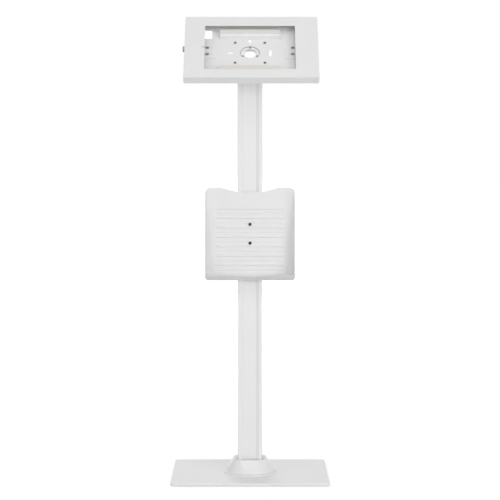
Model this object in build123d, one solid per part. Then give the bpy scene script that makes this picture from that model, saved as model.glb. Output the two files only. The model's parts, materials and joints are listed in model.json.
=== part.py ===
from build123d import *
from math import cos, radians, sin, sqrt
import os

# Tablet floor stand: weighted base, profiled column, brochure holder and a tilting tablet enclosure.
# All sizes are millimetres. The origin is on the floor under the middle of the base, +Z is up,
# the front of the stand faces -Y and +X is to the right of somebody standing in front of it.

os.makedirs("parts", exist_ok=True)

# General fits
THREAD_FIT = 0.05
RUNNING_FIT = 0.05
FACE_GAP = 0.1
SCREW_CLEARANCE = 0.25
CUT_PAST = 1.0

# Base plate and feet
BASE_WIDTH = 400.0
BASE_DEPTH = 300.0
BASE_THICKNESS = 6.0
BASE_CORNER_RADIUS = 10.0
BASE_EDGE = 0.8
FOOT_DIAMETER = 26.0
FOOT_THICKNESS = 2.0
FOOT_INSET = 24.0
BASE_TOP = FOOT_THICKNESS + BASE_THICKNESS

# Column profile
COLUMN_WIDTH = 62.0
COLUMN_LENGTH = 1014.0
COLUMN_WALL = 6.8
COLUMN_CORNER_RADIUS = 2.2
FLANGE_WIDTH = 8.0
RECESS_SLOPE = 8.0
RECESS_DEPTH = 4.5
CAVITY_CORNER_RADIUS = 2.0
CABLE_SLOT_WIDTH = 36.0
COLUMN_TOP = BASE_TOP + COLUMN_LENGTH
RECESS_MOUTH = COLUMN_WIDTH - 2 * FLANGE_WIDTH
RECESS_FLOOR = RECESS_MOUTH - 2 * RECESS_SLOPE
CAVITY_WIDTH = COLUMN_WIDTH - 2 * COLUMN_WALL
PANEL_FACE = COLUMN_WIDTH / 2 - RECESS_DEPTH
SLOT_FACE = PANEL_FACE + RECESS_DEPTH * (CABLE_SLOT_WIDTH - RECESS_FLOOR) / (2 * RECESS_SLOPE)

# End blocks inside the column
BLOCK_FIT = 0.2
BLOCK_HEIGHT = 36.0
BLOCK_CABLE_BORE = 32.0
BLOCK_BOLT_SPACING = 36.0
BLOCK_SCREW_RISE = 18.0

# Rear cable cover and its outlet
STRIP_FIT = 0.3
STRIP_THICKNESS = 1.8
STRIP_LEG_THICKNESS = 1.7
STRIP_LEG_DEPTH = 2.0
STRIP_END_GAP = 1.0
OUTLET_HEIGHT = 16.0
OUTLET_GAP = 2.0
GROMMET_WALL = 2.0
GROMMET_LIP = 1.5
GROMMET_PROUD = 0.8
STRIP_INSIDE = SLOT_FACE - STRIP_THICKNESS - STRIP_LEG_DEPTH

# Screws: shank radius, head radius, head height
PAN_EDGE_SHARE = 0.3
PAN_SOCKET_SHARE = 0.75
FLAT_SOCKET_SHARE = 0.7
SOCKET_DEPTH_SHARE = 0.6
BASE_BOLT = (3.0, 6.0, 3.3)
BASE_BOLT_LENGTH = 24.0
SIDE_SCREW = (2.5, 4.2, 2.2)
SIDE_SCREW_LENGTH = 12.0
BRACKET_SCREW = (2.5, 4.25, 5.0)
BRACKET_SCREW_LENGTH = 22.0
HOLDER_SCREW = (2.5, 4.0, 2.6)
HOLDER_SCREW_LENGTH = 15.0
TILT_BOLT = (4.0, 6.8, 5.0)
VESA_SCREW = (2.0, 3.6, 1.9)
RING_SCREW = (1.5, 3.0, 1.6)
CLAMP_SCREW = (2.0, 4.0, 1.8)
CAM_SCREW = (1.25, 2.4, 1.2)

# Foot cover: a cone on a round flange, cut flat on the column's four sides
COVER_FLANGE_DIAMETER = 137.5
COVER_FLANGE_EDGE = 2.4
COVER_FLANGE_RISE = 1.0
COVER_FLANGE_ROUND = 1.4
COVER_FLARE_ROUND = 5.0
COVER_HEIGHT = 36.0
COVER_FOOT_RADIUS = 62.5
COVER_TOP_RADIUS = 48.0
COVER_RIM_WIDTH = 81.0
COVER_FACET_SLOPE = 0.698
COVER_RIM_ROUND = 1.2
COVER_WALL = 1.6
COVER_COLUMN_GAP = 1.0

# Brochure holder
HOLDER_WIDTH = 229.0
HOLDER_BOTTOM = 509.0
HOLDER_HEIGHT = 236.0
HOLDER_DEPTH = 46.0
HOLDER_TOP_DEPTH = 6.0
HOLDER_WALL = 2.5
HOLDER_BACK_WIDTH = 178.0
HOLDER_LIP_HEIGHT = 14.5
HOLDER_LIP_SLOPE = 25.0
HOLDER_SCOOP_SAG = 4.5
HOLDER_SCOOP_HALF_WIDTH = 80.0
HOLDER_SCOOP_REACH = 20.0
HOLDER_DIP = 12.0
HOLDER_DIP_HALF_WIDTH = 30.0
HOLDER_LOBE_HALF_WIDTH = 76.0
HOLDER_SHOULDER_DROP = 1.5
HOLDER_SHOULDER_RADIUS = 14.0
HOLDER_WAVE_RADIUS = 60.0
HOLDER_FOOT_RADIUS = 3.0
HOLDER_FLARE_PULL = 0.55
HOLDER_FRONT_SKIN = 0.01
HOLDER_RIM_ROUND = 1.0
RIB_COUNT = 7
RIB_PITCH = 24.0
RIB_FIRST_RISE = 38.0
RIB_HEIGHT = 5.0
RIB_PROUD = 1.6
MINOR_RIB_HEIGHT = 3.0
MINOR_RIB_PROUD = 0.8
RIB_BITE = 0.5
HOLDER_SCREW_SPACING = 48.0
HOLDER_SCREW_RISE = 118.0
HOLDER_SEAT_MARGIN = 1.5
SPACER_HEIGHT = 96.0
NUT_PLATE_WIDTH = 40.0
NUT_PLATE_HEIGHT = 76.0
NUT_PLATE_THICKNESS = 3.0

# Head bracket on top of the column
BRACKET_WIDTH = 59.0
BRACKET_DEPTH = 58.0
BRACKET_PLATE = 5.0
BRACKET_EAR = 5.0
BRACKET_EAR_FOOT = 42.0
BRACKET_BOLT_X = 15.0
TILT_AXIS_Y = -0.5
TILT_AXIS_RISE = 52.5
TILT_EAR_RADIUS = 12.0
TILT_WASHER_THICKNESS = 1.0
TILT_WASHER_RADIUS = 11.0

# Enclosure: sheet steel box that leans back from vertical
LEAN = 45.0
COVER_WIDTH = 337.0
COVER_HEIGHT_UP = 227.4
COVER_DEPTH = 20.5
SHEET = 1.5
COVER_OFFSET_X = 3.5
COVER_CORNER_RADIUS = 4.0
COVER_EDGE = 0.7
WINDOW_WIDTH = 228.5
WINDOW_HEIGHT = 162.4
WINDOW_RISE = -2.0
WINDOW_CORNER_RADIUS = 2.0
NOTCH_LENGTH = 7.5
NOTCH_HEIGHT = 3.0
NOTCH_RISE = -1.5
TRAY_GAP = 1.2
TRAY_HINGE_GAP = 2.4
TRAY_SET_IN = 1.0
TRAY_WALL_HEIGHT = 10.0
VESA_PITCH = 75.0
VESA_RISE = -3.9
RING_HOLE_RADIUS = 24.5
TRAY_SLOT_RADIUS = 49.5
TRAY_SLOT_LENGTH = 15.0
TRAY_SLOT_WIDTH = 7.0
TRAY_SLOT_ROUND = 2.4
TOP_SLOT_LIFT = -5.0
RIGHT_SLOT_EXTRA = 8.0
RIGHT_SLOT_SHIFT = 2.0
PORT_WIDTH = 26.0
PORT_HEIGHT = 33.0
PORT_X = -109.0
PORT_RISE = 65.2
PORT_CORNER_RADIUS = 2.0

# Rotation bearing between enclosure and tilt yoke
VESA_PLATE_WIDTH = 96.0
VESA_PLATE_THICKNESS = 2.5
VESA_PLATE_CORNER = 8.0
VESA_PLATE_HOLE = 17.0
VESA_SCALLOP_RADIUS = 16.0
VESA_SCALLOP_PLACE = 52.5
HUB_BORE_RADIUS = 14.3
HUB_TUBE_BORE = 24.0
HUB_TUBE_RADIUS = 25.8
HUB_FLANGE_RADIUS = 34.0
HUB_FLANGE_THICKNESS = 2.5
RING_SCREW_CIRCLE = 20.8
RING_SCREW_COUNT = 3
FRICTION_WASHER = 1.0
FRONT_WASHER_RADIUS = 28.5
LOCK_RING_RADIUS = 30.0
LOCK_RING_THICKNESS = 3.5
LOCK_RING_NOTCH = 3.0
HUB_END_PROUD = 0.5
STOP_PIN_RADIUS = 2.0
STOP_PIN_CIRCLE = 31.0
STOP_PIN_CLEARANCE = 0.3
STOP_PIN_SHORT = 0.5
YOKE_PLATE = 3.5
YOKE_HALF_HEIGHT = 38.0
YOKE_CHEEK = 4.0
YOKE_ARM = 24.0
YOKE_OFFSET = 21.4
YOKE_CHEEK_SET_BACK = 16.0

# Cover hinge
HINGE_INSET = 9.0
HINGE_DEPTH = 15.8
HINGE_PIN_RADIUS = 1.5
HINGE_PIN_HEAD_RADIUS = 2.1
HINGE_PIN_HEAD = 1.5
HINGE_PIN_BITE = 0.5

# Cam lock in the left side of the cover
LOCK_DEPTH = 9.5
LOCK_HEAD_RADIUS = 7.5
LOCK_HEAD_LENGTH = 4.5
LOCK_HEAD_EDGE = 1.2
LOCK_BARREL_RADIUS = 6.0
LOCK_BARREL_LENGTH = 10.0
LOCK_PLUG_RADIUS = 3.5
LOCK_PLUG_PROUD = 0.3
LOCK_NUT_FLATS = 14.0
LOCK_NUT_THICKNESS = 3.0
KEYWAY_LENGTH = 5.0
KEYWAY_WIDTH = 1.1
KEYWAY_DEPTH = 3.0
CAM_REACH = 7.4
CAM_HALF_WIDTH = 3.0
CAM_HUB_RADIUS = 4.3
CAM_THICKNESS = 2.0
CAM_GAP = 0.3
CAM_SCREW_SHORT = 0.5
STRIKE_GAP = 1.0
STRIKE_WIDTH = 6.0
STRIKE_LIP_START = 5.2
STRIKE_LIP_DEPTH = 3.5
STRIKE_UPRIGHT = 12.5
STRIKE_FOOT = 12.0
LOCK_NOTCH_HALF = 13.0

# Tablet supports: sliding clamps and foam strips
CLAMP_REACH = 49.0
CLAMP_HEIGHT = 56.0
CLAMP_LIFT = 5.0
CLAMP_SHEET = 1.5
CLAMP_JAW_ROOM = 43.0
CLAMP_FOOT_INSIDE = 36.0
CLAMP_JAW_HEIGHT = 9.0
CLAMP_PAD = 1.0
CLAMP_PAD_MARGIN = 2.0
CLAMP_PAD_EDGE = 0.5
CLAMP_SLOT_PITCH = 24.0
CLAMP_SLOT_EXTRA = 0.6
CLAMP_SCREW_SHIFT = 3.0
CLAMP_IN = 9.0
CLAMP_OUT = 8.0
FOAM_LENGTH = 152.0
FOAM_WIDTH = 24.5
LINER_WIDTH = 16.0
FOAM_FRONT = 7.5
LINER_THICKNESS = 1.0
UPPER_FOAM_RISE = 60.75
LOWER_FOAM_RISE = -74.05

# Depths below the enclosure's front face
TRAY_FRONT = COVER_DEPTH - TRAY_SET_IN - SHEET
TRAY_BACK = TRAY_FRONT + SHEET
PLATE_BACK = TRAY_BACK + VESA_PLATE_THICKNESS
FLANGE_BACK = PLATE_BACK + HUB_FLANGE_THICKNESS
YOKE_FRONT = FLANGE_BACK + FRICTION_WASHER + FACE_GAP
YOKE_BACK = YOKE_FRONT + YOKE_PLATE
REAR_WASHER_FRONT = YOKE_BACK + FACE_GAP
LOCK_RING_FRONT = REAR_WASHER_FRONT + FRICTION_WASHER
HUB_END = LOCK_RING_FRONT + LOCK_RING_THICKNESS + HUB_END_PROUD

# Cross position of the cover's faces, and the tilt axis seen from the enclosure
COVER_LEFT = COVER_OFFSET_X - COVER_WIDTH / 2
COVER_RIGHT = COVER_OFFSET_X + COVER_WIDTH / 2
COVER_TOP = COVER_HEIGHT_UP / 2
TRAY_LEFT = COVER_LEFT + SHEET + TRAY_GAP
TRAY_RIGHT = COVER_RIGHT - SHEET - TRAY_HINGE_GAP
TRAY_TOP = COVER_TOP - SHEET - TRAY_GAP
HINGE_X = COVER_RIGHT - HINGE_INSET
CLAMP_JAW = -COVER_LEFT - CLAMP_JAW_ROOM
CLAMP_INNER_EDGE = CLAMP_JAW - CLAMP_FOOT_INSIDE
CLAMP_RISE = VESA_RISE + CLAMP_LIFT
TILT_RISE = VESA_RISE + YOKE_OFFSET
TILT_DEPTH = YOKE_BACK + YOKE_ARM
TILT_AXIS_Z = COLUMN_TOP + TILT_AXIS_RISE
EAR_OUTER = BRACKET_WIDTH / 2
EAR_INNER = EAR_OUTER - BRACKET_EAR
CHEEK_INNER = EAR_OUTER + TILT_WASHER_THICKNESS + 2 * FACE_GAP
CHEEK_OUTER = CHEEK_INNER + YOKE_CHEEK

# The enclosure's own frame: x across, y up along the face, z out of the face
UP = Vector(0, sin(radians(LEAN)), cos(radians(LEAN)))
OUT = Vector(0, -cos(radians(LEAN)), sin(radians(LEAN)))
FACE_CENTRE = Vector(0, TILT_AXIS_Y, TILT_AXIS_Z) - UP * TILT_RISE + OUT * TILT_DEPTH
FACE = Plane(origin=FACE_CENTRE, x_dir=(1, 0, 0), z_dir=OUT)


def on_face(shape):
    """Move a shape from the enclosure's own frame to its place on the stand."""
    return FACE.location * shape


def through(low, high):
    """Limits that run a little past two faces, for a cut from one to the other."""
    return (low - CUT_PAST, high + CUT_PAST)


def block(x_range, y_range, z_range):
    """A rectangular block between three pairs of limits."""
    sizes = [high - low for low, high in (x_range, y_range, z_range)]
    middle = [(high + low) / 2 for low, high in (x_range, y_range, z_range)]
    return Pos(*middle) * Box(*sizes)


def slab(x_range, rise_range, depth_range):
    """A block in the enclosure's frame, its last pair given as depths below the front face."""
    return block(x_range, rise_range, (-depth_range[1], -depth_range[0]))


def bar(x, rise, depth_range, radius):
    """A round bar in the enclosure's frame, square to the face, between two depths."""
    length = depth_range[1] - depth_range[0]
    return Pos(x, rise, -(depth_range[0] + depth_range[1]) / 2) * Cylinder(radius, length)


def cross_bar(x_range, rise, depth, radius):
    """A round bar in the enclosure's frame that runs across it, along x."""
    length = x_range[1] - x_range[0]
    middle = (x_range[0] + x_range[1]) / 2
    return Pos(middle, rise, -depth) * Rot(0, 90, 0) * Cylinder(radius, length)


def pan_screw(size, length):
    """A socket screw with a raised head: head above z = 0, shank below it."""
    shank, head, height = size
    body = Pos(0, 0, height / 2) * Cylinder(head, height)
    body = fillet(body.edges().sort_by(Axis.Z)[-1], min(height, head) * PAN_EDGE_SHARE)
    body += Pos(0, 0, -length / 2) * Cylinder(shank, length)
    socket = extrude(RegularPolygon(shank * PAN_SOCKET_SHARE, 6), height)
    return body - Pos(0, 0, height * (1 - SOCKET_DEPTH_SHARE)) * socket


def flat_screw(size, length):
    """A countersunk socket screw: head face at z = 0, shank below it."""
    shank, head, height = size
    body = Pos(0, 0, -height / 2) * Cone(shank, head, height)
    body += Pos(0, 0, -length / 2) * Cylinder(shank, length)
    socket = extrude(RegularPolygon(shank * FLAT_SOCKET_SHARE, 6), height)
    return body - Pos(0, 0, -height * SOCKET_DEPTH_SHARE) * socket


def countersink(size, depth, fit):
    """The hole that a countersunk screw of this size fits, down to a depth."""
    shank, head, height = size
    hole = Pos(0, 0, -height / 2) * Cone(shank + fit, head + fit, height)
    return hole + Pos(0, 0, -depth / 2) * Cylinder(shank + fit, depth)


def corners(spacing_x, spacing_y):
    """The four corners of a rectangle about the origin."""
    return [(x, y) for x in (-spacing_x / 2, spacing_x / 2) for y in (-spacing_y / 2, spacing_y / 2)]


def base_plate():
    """Steel floor plate with four countersunk bolt holes that open downwards."""
    plate = Pos(0, 0, FOOT_THICKNESS) * extrude(
        RectangleRounded(BASE_WIDTH, BASE_DEPTH, BASE_CORNER_RADIUS), BASE_THICKNESS
    )
    plate = chamfer(plate.edges().group_by(Axis.Z)[-1], BASE_EDGE)
    plate = chamfer(plate.edges().group_by(Axis.Z)[0], BASE_EDGE)
    hole = Rot(180, 0, 0) * countersink(BASE_BOLT, BASE_THICKNESS + CUT_PAST, THREAD_FIT)
    for x, y in corners(BLOCK_BOLT_SPACING, BLOCK_BOLT_SPACING):
        plate -= Pos(x, y, FOOT_THICKNESS) * hole
    return plate


def rubber_feet():
    """Four round rubber pads under the corners of the base plate."""
    spacing_x = BASE_WIDTH - 2 * FOOT_INSET
    spacing_y = BASE_DEPTH - 2 * FOOT_INSET
    foot = Pos(0, 0, FOOT_THICKNESS / 2) * Cylinder(FOOT_DIAMETER / 2, FOOT_THICKNESS)
    return Compound([Pos(x, y, 0) * foot for x, y in corners(spacing_x, spacing_y)])


def base_bolts():
    """Four countersunk bolts that hold the column's foot block down from below."""
    bolt = Rot(180, 0, 0) * flat_screw(BASE_BOLT, BASE_BOLT_LENGTH)
    places = corners(BLOCK_BOLT_SPACING, BLOCK_BOLT_SPACING)
    return Compound([Pos(x, y, FOOT_THICKNESS) * bolt for x, y in places])


def end_block(bottom, bolt_spacing_x, bolt_size):
    """A block that fills one end of the column, threaded for its bolts."""
    width = CAVITY_WIDTH - 2 * BLOCK_FIT
    body = Pos(0, 0, bottom) * extrude(RectangleRounded(width, width, CAVITY_CORNER_RADIUS), BLOCK_HEIGHT)
    middle = bottom + BLOCK_HEIGHT / 2
    for x, y in corners(bolt_spacing_x, BLOCK_BOLT_SPACING):
        body -= Pos(x, y, middle) * Cylinder(bolt_size[0] + THREAD_FIT, BLOCK_HEIGHT + CUT_PAST)
    half_slot = CABLE_SLOT_WIDTH / 2
    relief = (STRIP_INSIDE - BLOCK_FIT, COLUMN_WIDTH)
    return body - block((-half_slot, half_slot), relief, through(bottom, bottom + BLOCK_HEIGHT))


def side_screw_rises():
    """Heights of the screws that pin the column to its two end blocks."""
    return (BASE_TOP + BLOCK_SCREW_RISE, COLUMN_TOP - BLOCK_SCREW_RISE)


def cut_side_screw_holes(body, radius):
    """Drill both end blocks' side screw holes through a body, along x."""
    for rise in side_screw_rises():
        for side in (-1, 1):
            reach = SIDE_SCREW_LENGTH + RECESS_DEPTH + CUT_PAST
            middle = side * (COLUMN_WIDTH / 2 + CUT_PAST - reach / 2)
            body -= Pos(middle, 0, rise) * Rot(0, 90, 0) * Cylinder(radius, reach)
    return body


def foot_block():
    """Lower end block, bolted to the base plate."""
    body = end_block(BASE_TOP, BLOCK_BOLT_SPACING, BASE_BOLT)
    return cut_side_screw_holes(body, SIDE_SCREW[0] + THREAD_FIT)


def top_block():
    """Upper end block, which takes the head bracket's screws and lets the cable through."""
    body = end_block(COLUMN_TOP - BLOCK_HEIGHT, 2 * BRACKET_BOLT_X, BRACKET_SCREW)
    body -= Pos(0, 0, COLUMN_TOP) * Cylinder(BLOCK_CABLE_BORE / 2, 3 * BLOCK_HEIGHT)
    return cut_side_screw_holes(body, SIDE_SCREW[0] + THREAD_FIT)


def side_screws():
    """Four screws through the column's side recesses into the end blocks."""
    screws = []
    for rise in side_screw_rises():
        for side in (-1, 1):
            screw = Rot(0, 90 * side, 0) * pan_screw(SIDE_SCREW, SIDE_SCREW_LENGTH)
            screws.append(Pos(side * PANEL_FACE, 0, rise) * screw)
    return Compound(screws)


def column_section():
    """Square profile with a shallow sloped recess along each side."""
    outline = RectangleRounded(COLUMN_WIDTH, COLUMN_WIDTH, COLUMN_CORNER_RADIUS)
    half = COLUMN_WIDTH / 2
    recess = make_face(Polyline(
        (-RECESS_MOUTH / 2, -half),
        (-RECESS_FLOOR / 2, RECESS_DEPTH - half),
        (RECESS_FLOOR / 2, RECESS_DEPTH - half),
        (RECESS_MOUTH / 2, -half),
        (RECESS_MOUTH / 2, -half - CUT_PAST),
        (-RECESS_MOUTH / 2, -half - CUT_PAST),
        close=True,
    ))
    for quarter in range(4):
        outline -= Rot(0, 0, 90 * quarter) * recess
    return outline


def column_profile():
    """Aluminium column, open at the back for the cable along its whole length."""
    body = Pos(0, 0, BASE_TOP) * extrude(column_section(), COLUMN_LENGTH)
    cavity = RectangleRounded(CAVITY_WIDTH, CAVITY_WIDTH, CAVITY_CORNER_RADIUS)
    body -= Pos(0, 0, BASE_TOP) * extrude(cavity, COLUMN_LENGTH)
    half_slot = CABLE_SLOT_WIDTH / 2
    body -= block((-half_slot, half_slot), (0, COLUMN_WIDTH), (BASE_TOP, COLUMN_TOP))
    for rise in holder_screw_rises():
        hole = Rot(90, 0, 0) * Cylinder(HOLDER_SCREW[0] + SCREW_CLEARANCE, COLUMN_WIDTH / 2)
        body -= Pos(0, -COLUMN_WIDTH / 2, rise) * hole
    return cut_side_screw_holes(body, SIDE_SCREW[0] + SCREW_CLEARANCE)


def outlet_bottom():
    """Height where the cable outlet starts, just over the foot cover."""
    return BASE_TOP + COVER_HEIGHT + OUTLET_GAP


def rear_cable_cover():
    """Plastic strip that snaps into the rear slot above the cable outlet."""
    low = outlet_bottom() + OUTLET_HEIGHT
    high = COLUMN_TOP - STRIP_END_GAP
    half = CABLE_SLOT_WIDTH / 2 - STRIP_FIT
    inner_face = SLOT_FACE - STRIP_THICKNESS
    strip = block((-half, half), (inner_face, SLOT_FACE), (low, high))
    for side in (-1, 1):
        edges = sorted((side * half, side * (half - STRIP_LEG_THICKNESS)))
        strip += block(edges, (STRIP_INSIDE, inner_face), (low, high))
    return strip


def cable_grommet():
    """Rubber frame that lines the cable outlet, with a lip behind the slot's edges."""
    low = outlet_bottom()
    high = low + OUTLET_HEIGHT
    half = CABLE_SLOT_WIDTH / 2 - THREAD_FIT
    inside = half - GROMMET_WALL
    lip_front = CAVITY_WIDTH / 2 - THREAD_FIT - GROMMET_LIP
    body = block((-half, half), (lip_front, SLOT_FACE + GROMMET_PROUD), (low, high))
    lip_half = half + GROMMET_LIP
    body += block((-lip_half, lip_half), (lip_front, lip_front + GROMMET_LIP), (low, high))
    opening = block((-inside, inside), (0, COLUMN_WIDTH), (low + GROMMET_WALL, high - GROMMET_WALL))
    return body - opening


def cover_cone(wall):
    """Cone of the foot cover with its four flat facets, at a depth below its skin."""
    low, top = BASE_TOP, BASE_TOP + COVER_HEIGHT - wall
    foot_rise = BASE_TOP + COVER_FLANGE_EDGE + COVER_FLANGE_RISE
    slope = (COVER_FOOT_RADIUS - COVER_TOP_RADIUS) / (BASE_TOP + COVER_HEIGHT - foot_rise)
    top_radius = COVER_TOP_RADIUS + slope * wall - wall * sqrt(1 + slope**2)
    facet = COVER_RIM_WIDTH / 2 + COVER_FACET_SLOPE * wall - wall * sqrt(1 + COVER_FACET_SLOPE**2)
    foot_radius = top_radius + slope * (top - low)
    body = Pos(0, 0, (low + top) / 2) * Cone(foot_radius, top_radius, top - low)
    apex = (top_radius - facet) / (COVER_FACET_SLOPE - slope)
    outside = 2 * COVER_FLANGE_DIAMETER
    wedge = make_face(Polyline(
        (-facet + COVER_FACET_SLOPE * CUT_PAST, top + CUT_PAST),
        (-facet - COVER_FACET_SLOPE * apex, top - apex),
        (-outside, top - apex),
        (-outside, top + CUT_PAST),
        close=True,
    ))
    cut = extrude(Plane.YZ * wedge, outside, both=True)
    for quarter in range(4):
        body -= Rot(0, 0, 90 * quarter) * cut
    return body


def cover_flange():
    """Round flange of the foot cover, flared up to meet the cone."""
    radius = COVER_FLANGE_DIAMETER / 2
    edge = BASE_TOP + COVER_FLANGE_EDGE
    foot = edge + COVER_FLANGE_RISE
    slope = (COVER_FOOT_RADIUS - COVER_TOP_RADIUS) / (BASE_TOP + COVER_HEIGHT - foot)
    high = foot + COVER_FLARE_ROUND
    inside = COVER_FOOT_RADIUS - slope * COVER_FLARE_ROUND - COVER_WALL
    outline = FilletPolyline(
        (radius, edge), (COVER_FOOT_RADIUS, foot), (COVER_FOOT_RADIUS - slope * COVER_FLARE_ROUND, high),
        radius=COVER_FLARE_ROUND / 2,
    )
    rest = Polyline((COVER_FOOT_RADIUS - slope * COVER_FLARE_ROUND, high), (inside, high),
                    (inside, BASE_TOP), (radius, BASE_TOP), (radius, edge))
    ring = revolve(Plane.XZ * make_face(outline + rest), Axis.Z)
    rim = ring.edges().filter_by(GeomType.CIRCLE).group_by(SortBy.RADIUS)[-1].sort_by(Axis.Z)[-1]
    return fillet(rim, COVER_FLANGE_ROUND)


def foot_cover():
    """Trim that hides the column's foot: a faceted cone on a round flange."""
    outer = cover_cone(0) + cover_flange()
    mouth = COLUMN_WIDTH + 2 * COVER_COLUMN_GAP
    opening = extrude(RectangleRounded(mouth, mouth, COVER_COLUMN_GAP), 2 * COVER_HEIGHT)
    rim = outer.faces().sort_by(Axis.Z)[-1].edges()
    outer = fillet(rim, COVER_RIM_ROUND)
    return outer - cover_cone(COVER_WALL) - Pos(0, 0, BASE_TOP) * opening


def holder_depth(rise):
    """How far the holder's side walls stand forward of the column at a height."""
    share = (rise - HOLDER_BOTTOM) / HOLDER_HEIGHT
    return HOLDER_DEPTH + (HOLDER_TOP_DEPTH - HOLDER_DEPTH) * share


def holder_wire(rise, wall, front):
    """Outline of the holder at a height: flat back, flared sides, straight front.

    The wall is how far the outline lies inside the outer skin, and front is how far it
    runs forward of the side walls' edges.
    """
    back = -COLUMN_WIDTH / 2 - wall
    tip = -COLUMN_WIDTH / 2 - holder_depth(rise)
    half = HOLDER_WIDTH / 2 - wall
    flat = HOLDER_BACK_WIDTH / 2 - wall
    pull = HOLDER_FLARE_PULL
    points = {}
    for side in (-1, 1):
        points[side] = [
            Vector(side * flat, back, rise),
            Vector(side * (flat + pull * (half - flat)), back, rise),
            Vector(side * half, tip + (1 - pull) * (back - tip), rise),
            Vector(side * half, tip, rise),
            Vector(side * half, tip - front, rise),
        ]
    left, right = points[-1], points[1]
    return Wire([
        Edge.make_line(left[0], right[0]),
        Edge.make_bezier(*right[:4]),
        Edge.make_line(right[3], right[4]),
        Edge.make_line(right[4], left[4]),
        Edge.make_line(left[4], left[3]),
        Edge.make_bezier(*reversed(left[:4])),
    ])


def holder_loft(low, high, wall, front):
    """Straight-sided loft of the holder's outline between two heights."""
    return Solid.make_loft([holder_wire(low, wall, front), holder_wire(high, wall, front)], True)


def holder_lip_wedge(wall):
    """What lies in front of the sloped lip, at a depth below its skin."""
    slope = HOLDER_LIP_SLOPE / HOLDER_LIP_HEIGHT
    lip = HOLDER_BOTTOM + HOLDER_LIP_HEIGHT
    tip = -COLUMN_WIDTH / 2 - HOLDER_DEPTH + wall * sqrt(1 + slope**2)
    low, high = through(HOLDER_BOTTOM, lip)
    front = tip - 3 * HOLDER_LIP_SLOPE
    section = make_face(Polyline(
        (front, low), (tip + (lip - low) * slope, low), (tip + (lip - high) * slope, high), (front, high),
        close=True,
    ))
    return extrude(Plane.YZ * section, HOLDER_WIDTH, both=True)


def holder_lip_scoop():
    """Shallow arc that lowers the middle of the lip's edge."""
    sag, half = HOLDER_SCOOP_SAG, HOLDER_SCOOP_HALF_WIDTH
    radius = (half**2 + sag**2) / (2 * sag)
    front = -COLUMN_WIDTH / 2 - HOLDER_DEPTH
    edge = HOLDER_BOTTOM + HOLDER_LIP_HEIGHT
    arc = Pos(0, front, edge - sag + radius) * Rot(90, 0, 0) * Cylinder(radius, 2 * HOLDER_SCOOP_REACH)
    reach = (front - HOLDER_SCOOP_REACH, front + HOLDER_SCOOP_REACH)
    return arc & block((-half, half), reach, through(edge - sag, edge))


def round_holder_rims(body):
    """Round the outer front edges of the holder's two side walls."""
    outermost = HOLDER_WIDTH / 2 - HOLDER_FRONT_SKIN
    rims = [
        edge for edge in body.edges()
        if edge.length > HOLDER_HEIGHT / 2 and abs(edge.center().X) > outermost
    ]
    return fillet(rims, HOLDER_RIM_ROUND)


def holder_outline():
    """Front view of the holder: rounded shoulders, two lobes and a dip between them."""
    half = HOLDER_WIDTH / 2
    low = HOLDER_BOTTOM
    top = low + HOLDER_HEIGHT
    right = [
        (half, low),
        (half, top - HOLDER_SHOULDER_DROP),
        (HOLDER_LOBE_HALF_WIDTH, top),
        (HOLDER_DIP_HALF_WIDTH, top - HOLDER_DIP),
    ]
    radii = [HOLDER_FOOT_RADIUS, HOLDER_SHOULDER_RADIUS, HOLDER_WAVE_RADIUS, HOLDER_WAVE_RADIUS]
    left = [(-x, z) for x, z in reversed(right)]
    outline = FilletPolyline(*right, *left, radius=radii + radii[::-1], close=True)
    return extrude(Plane.XZ * make_face(outline), HOLDER_WIDTH, both=True)


def rib(rise, height, proud):
    """One horizontal rib on the holder's back, a low arc in section."""
    face = -COLUMN_WIDTH / 2 - HOLDER_WALL
    arc = ThreePointArc((face, rise - height / 2), (face - proud, rise), (face, rise + height / 2))
    close = Polyline(
        (face, rise + height / 2), (face + RIB_BITE, rise + height / 2),
        (face + RIB_BITE, rise - height / 2), (face, rise - height / 2),
    )
    half = HOLDER_BACK_WIDTH / 2 - HOLDER_WALL
    return extrude(Plane.YZ * make_face(arc + close), half, both=True)


def holder_screw_rises():
    """Heights of the holder's two screws."""
    low = HOLDER_BOTTOM + HOLDER_SCREW_RISE - HOLDER_SCREW_SPACING / 2
    return (low, low + HOLDER_SCREW_SPACING)


def brochure_holder():
    """Moulded scoop for leaflets, with a low sloped lip and ribs across its back."""
    low = HOLDER_BOTTOM
    top = low + HOLDER_HEIGHT
    lip = low + HOLDER_LIP_HEIGHT
    body = holder_loft(low, top, 0, HOLDER_FRONT_SKIN) - holder_lip_wedge(0)
    pocket = holder_loft(low + HOLDER_WALL, lip + CUT_PAST, HOLDER_WALL, HOLDER_FRONT_SKIN)
    body -= pocket - holder_lip_wedge(HOLDER_WALL)
    body -= holder_loft(lip, top + CUT_PAST, HOLDER_WALL, HOLDER_WALL)
    body &= holder_outline()
    body = round_holder_rims(body - holder_lip_scoop())
    for index in range(RIB_COUNT):
        rise = low + RIB_FIRST_RISE + index * RIB_PITCH
        body += rib(rise, RIB_HEIGHT, RIB_PROUD)
        body += rib(rise - RIB_PITCH / 2, MINOR_RIB_HEIGHT, MINOR_RIB_PROUD)
    for rise in holder_screw_rises():
        seat = Rot(90, 0, 0) * Cylinder(HOLDER_SCREW[1] + HOLDER_SEAT_MARGIN, 2 * RIB_PROUD)
        body -= Pos(0, -COLUMN_WIDTH / 2 - HOLDER_WALL - RIB_PROUD, rise) * seat
        hole = Rot(90, 0, 0) * Cylinder(HOLDER_SCREW[0] + SCREW_CLEARANCE, COLUMN_WIDTH / 2)
        body -= Pos(0, -COLUMN_WIDTH / 2, rise) * hole
    return body


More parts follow.
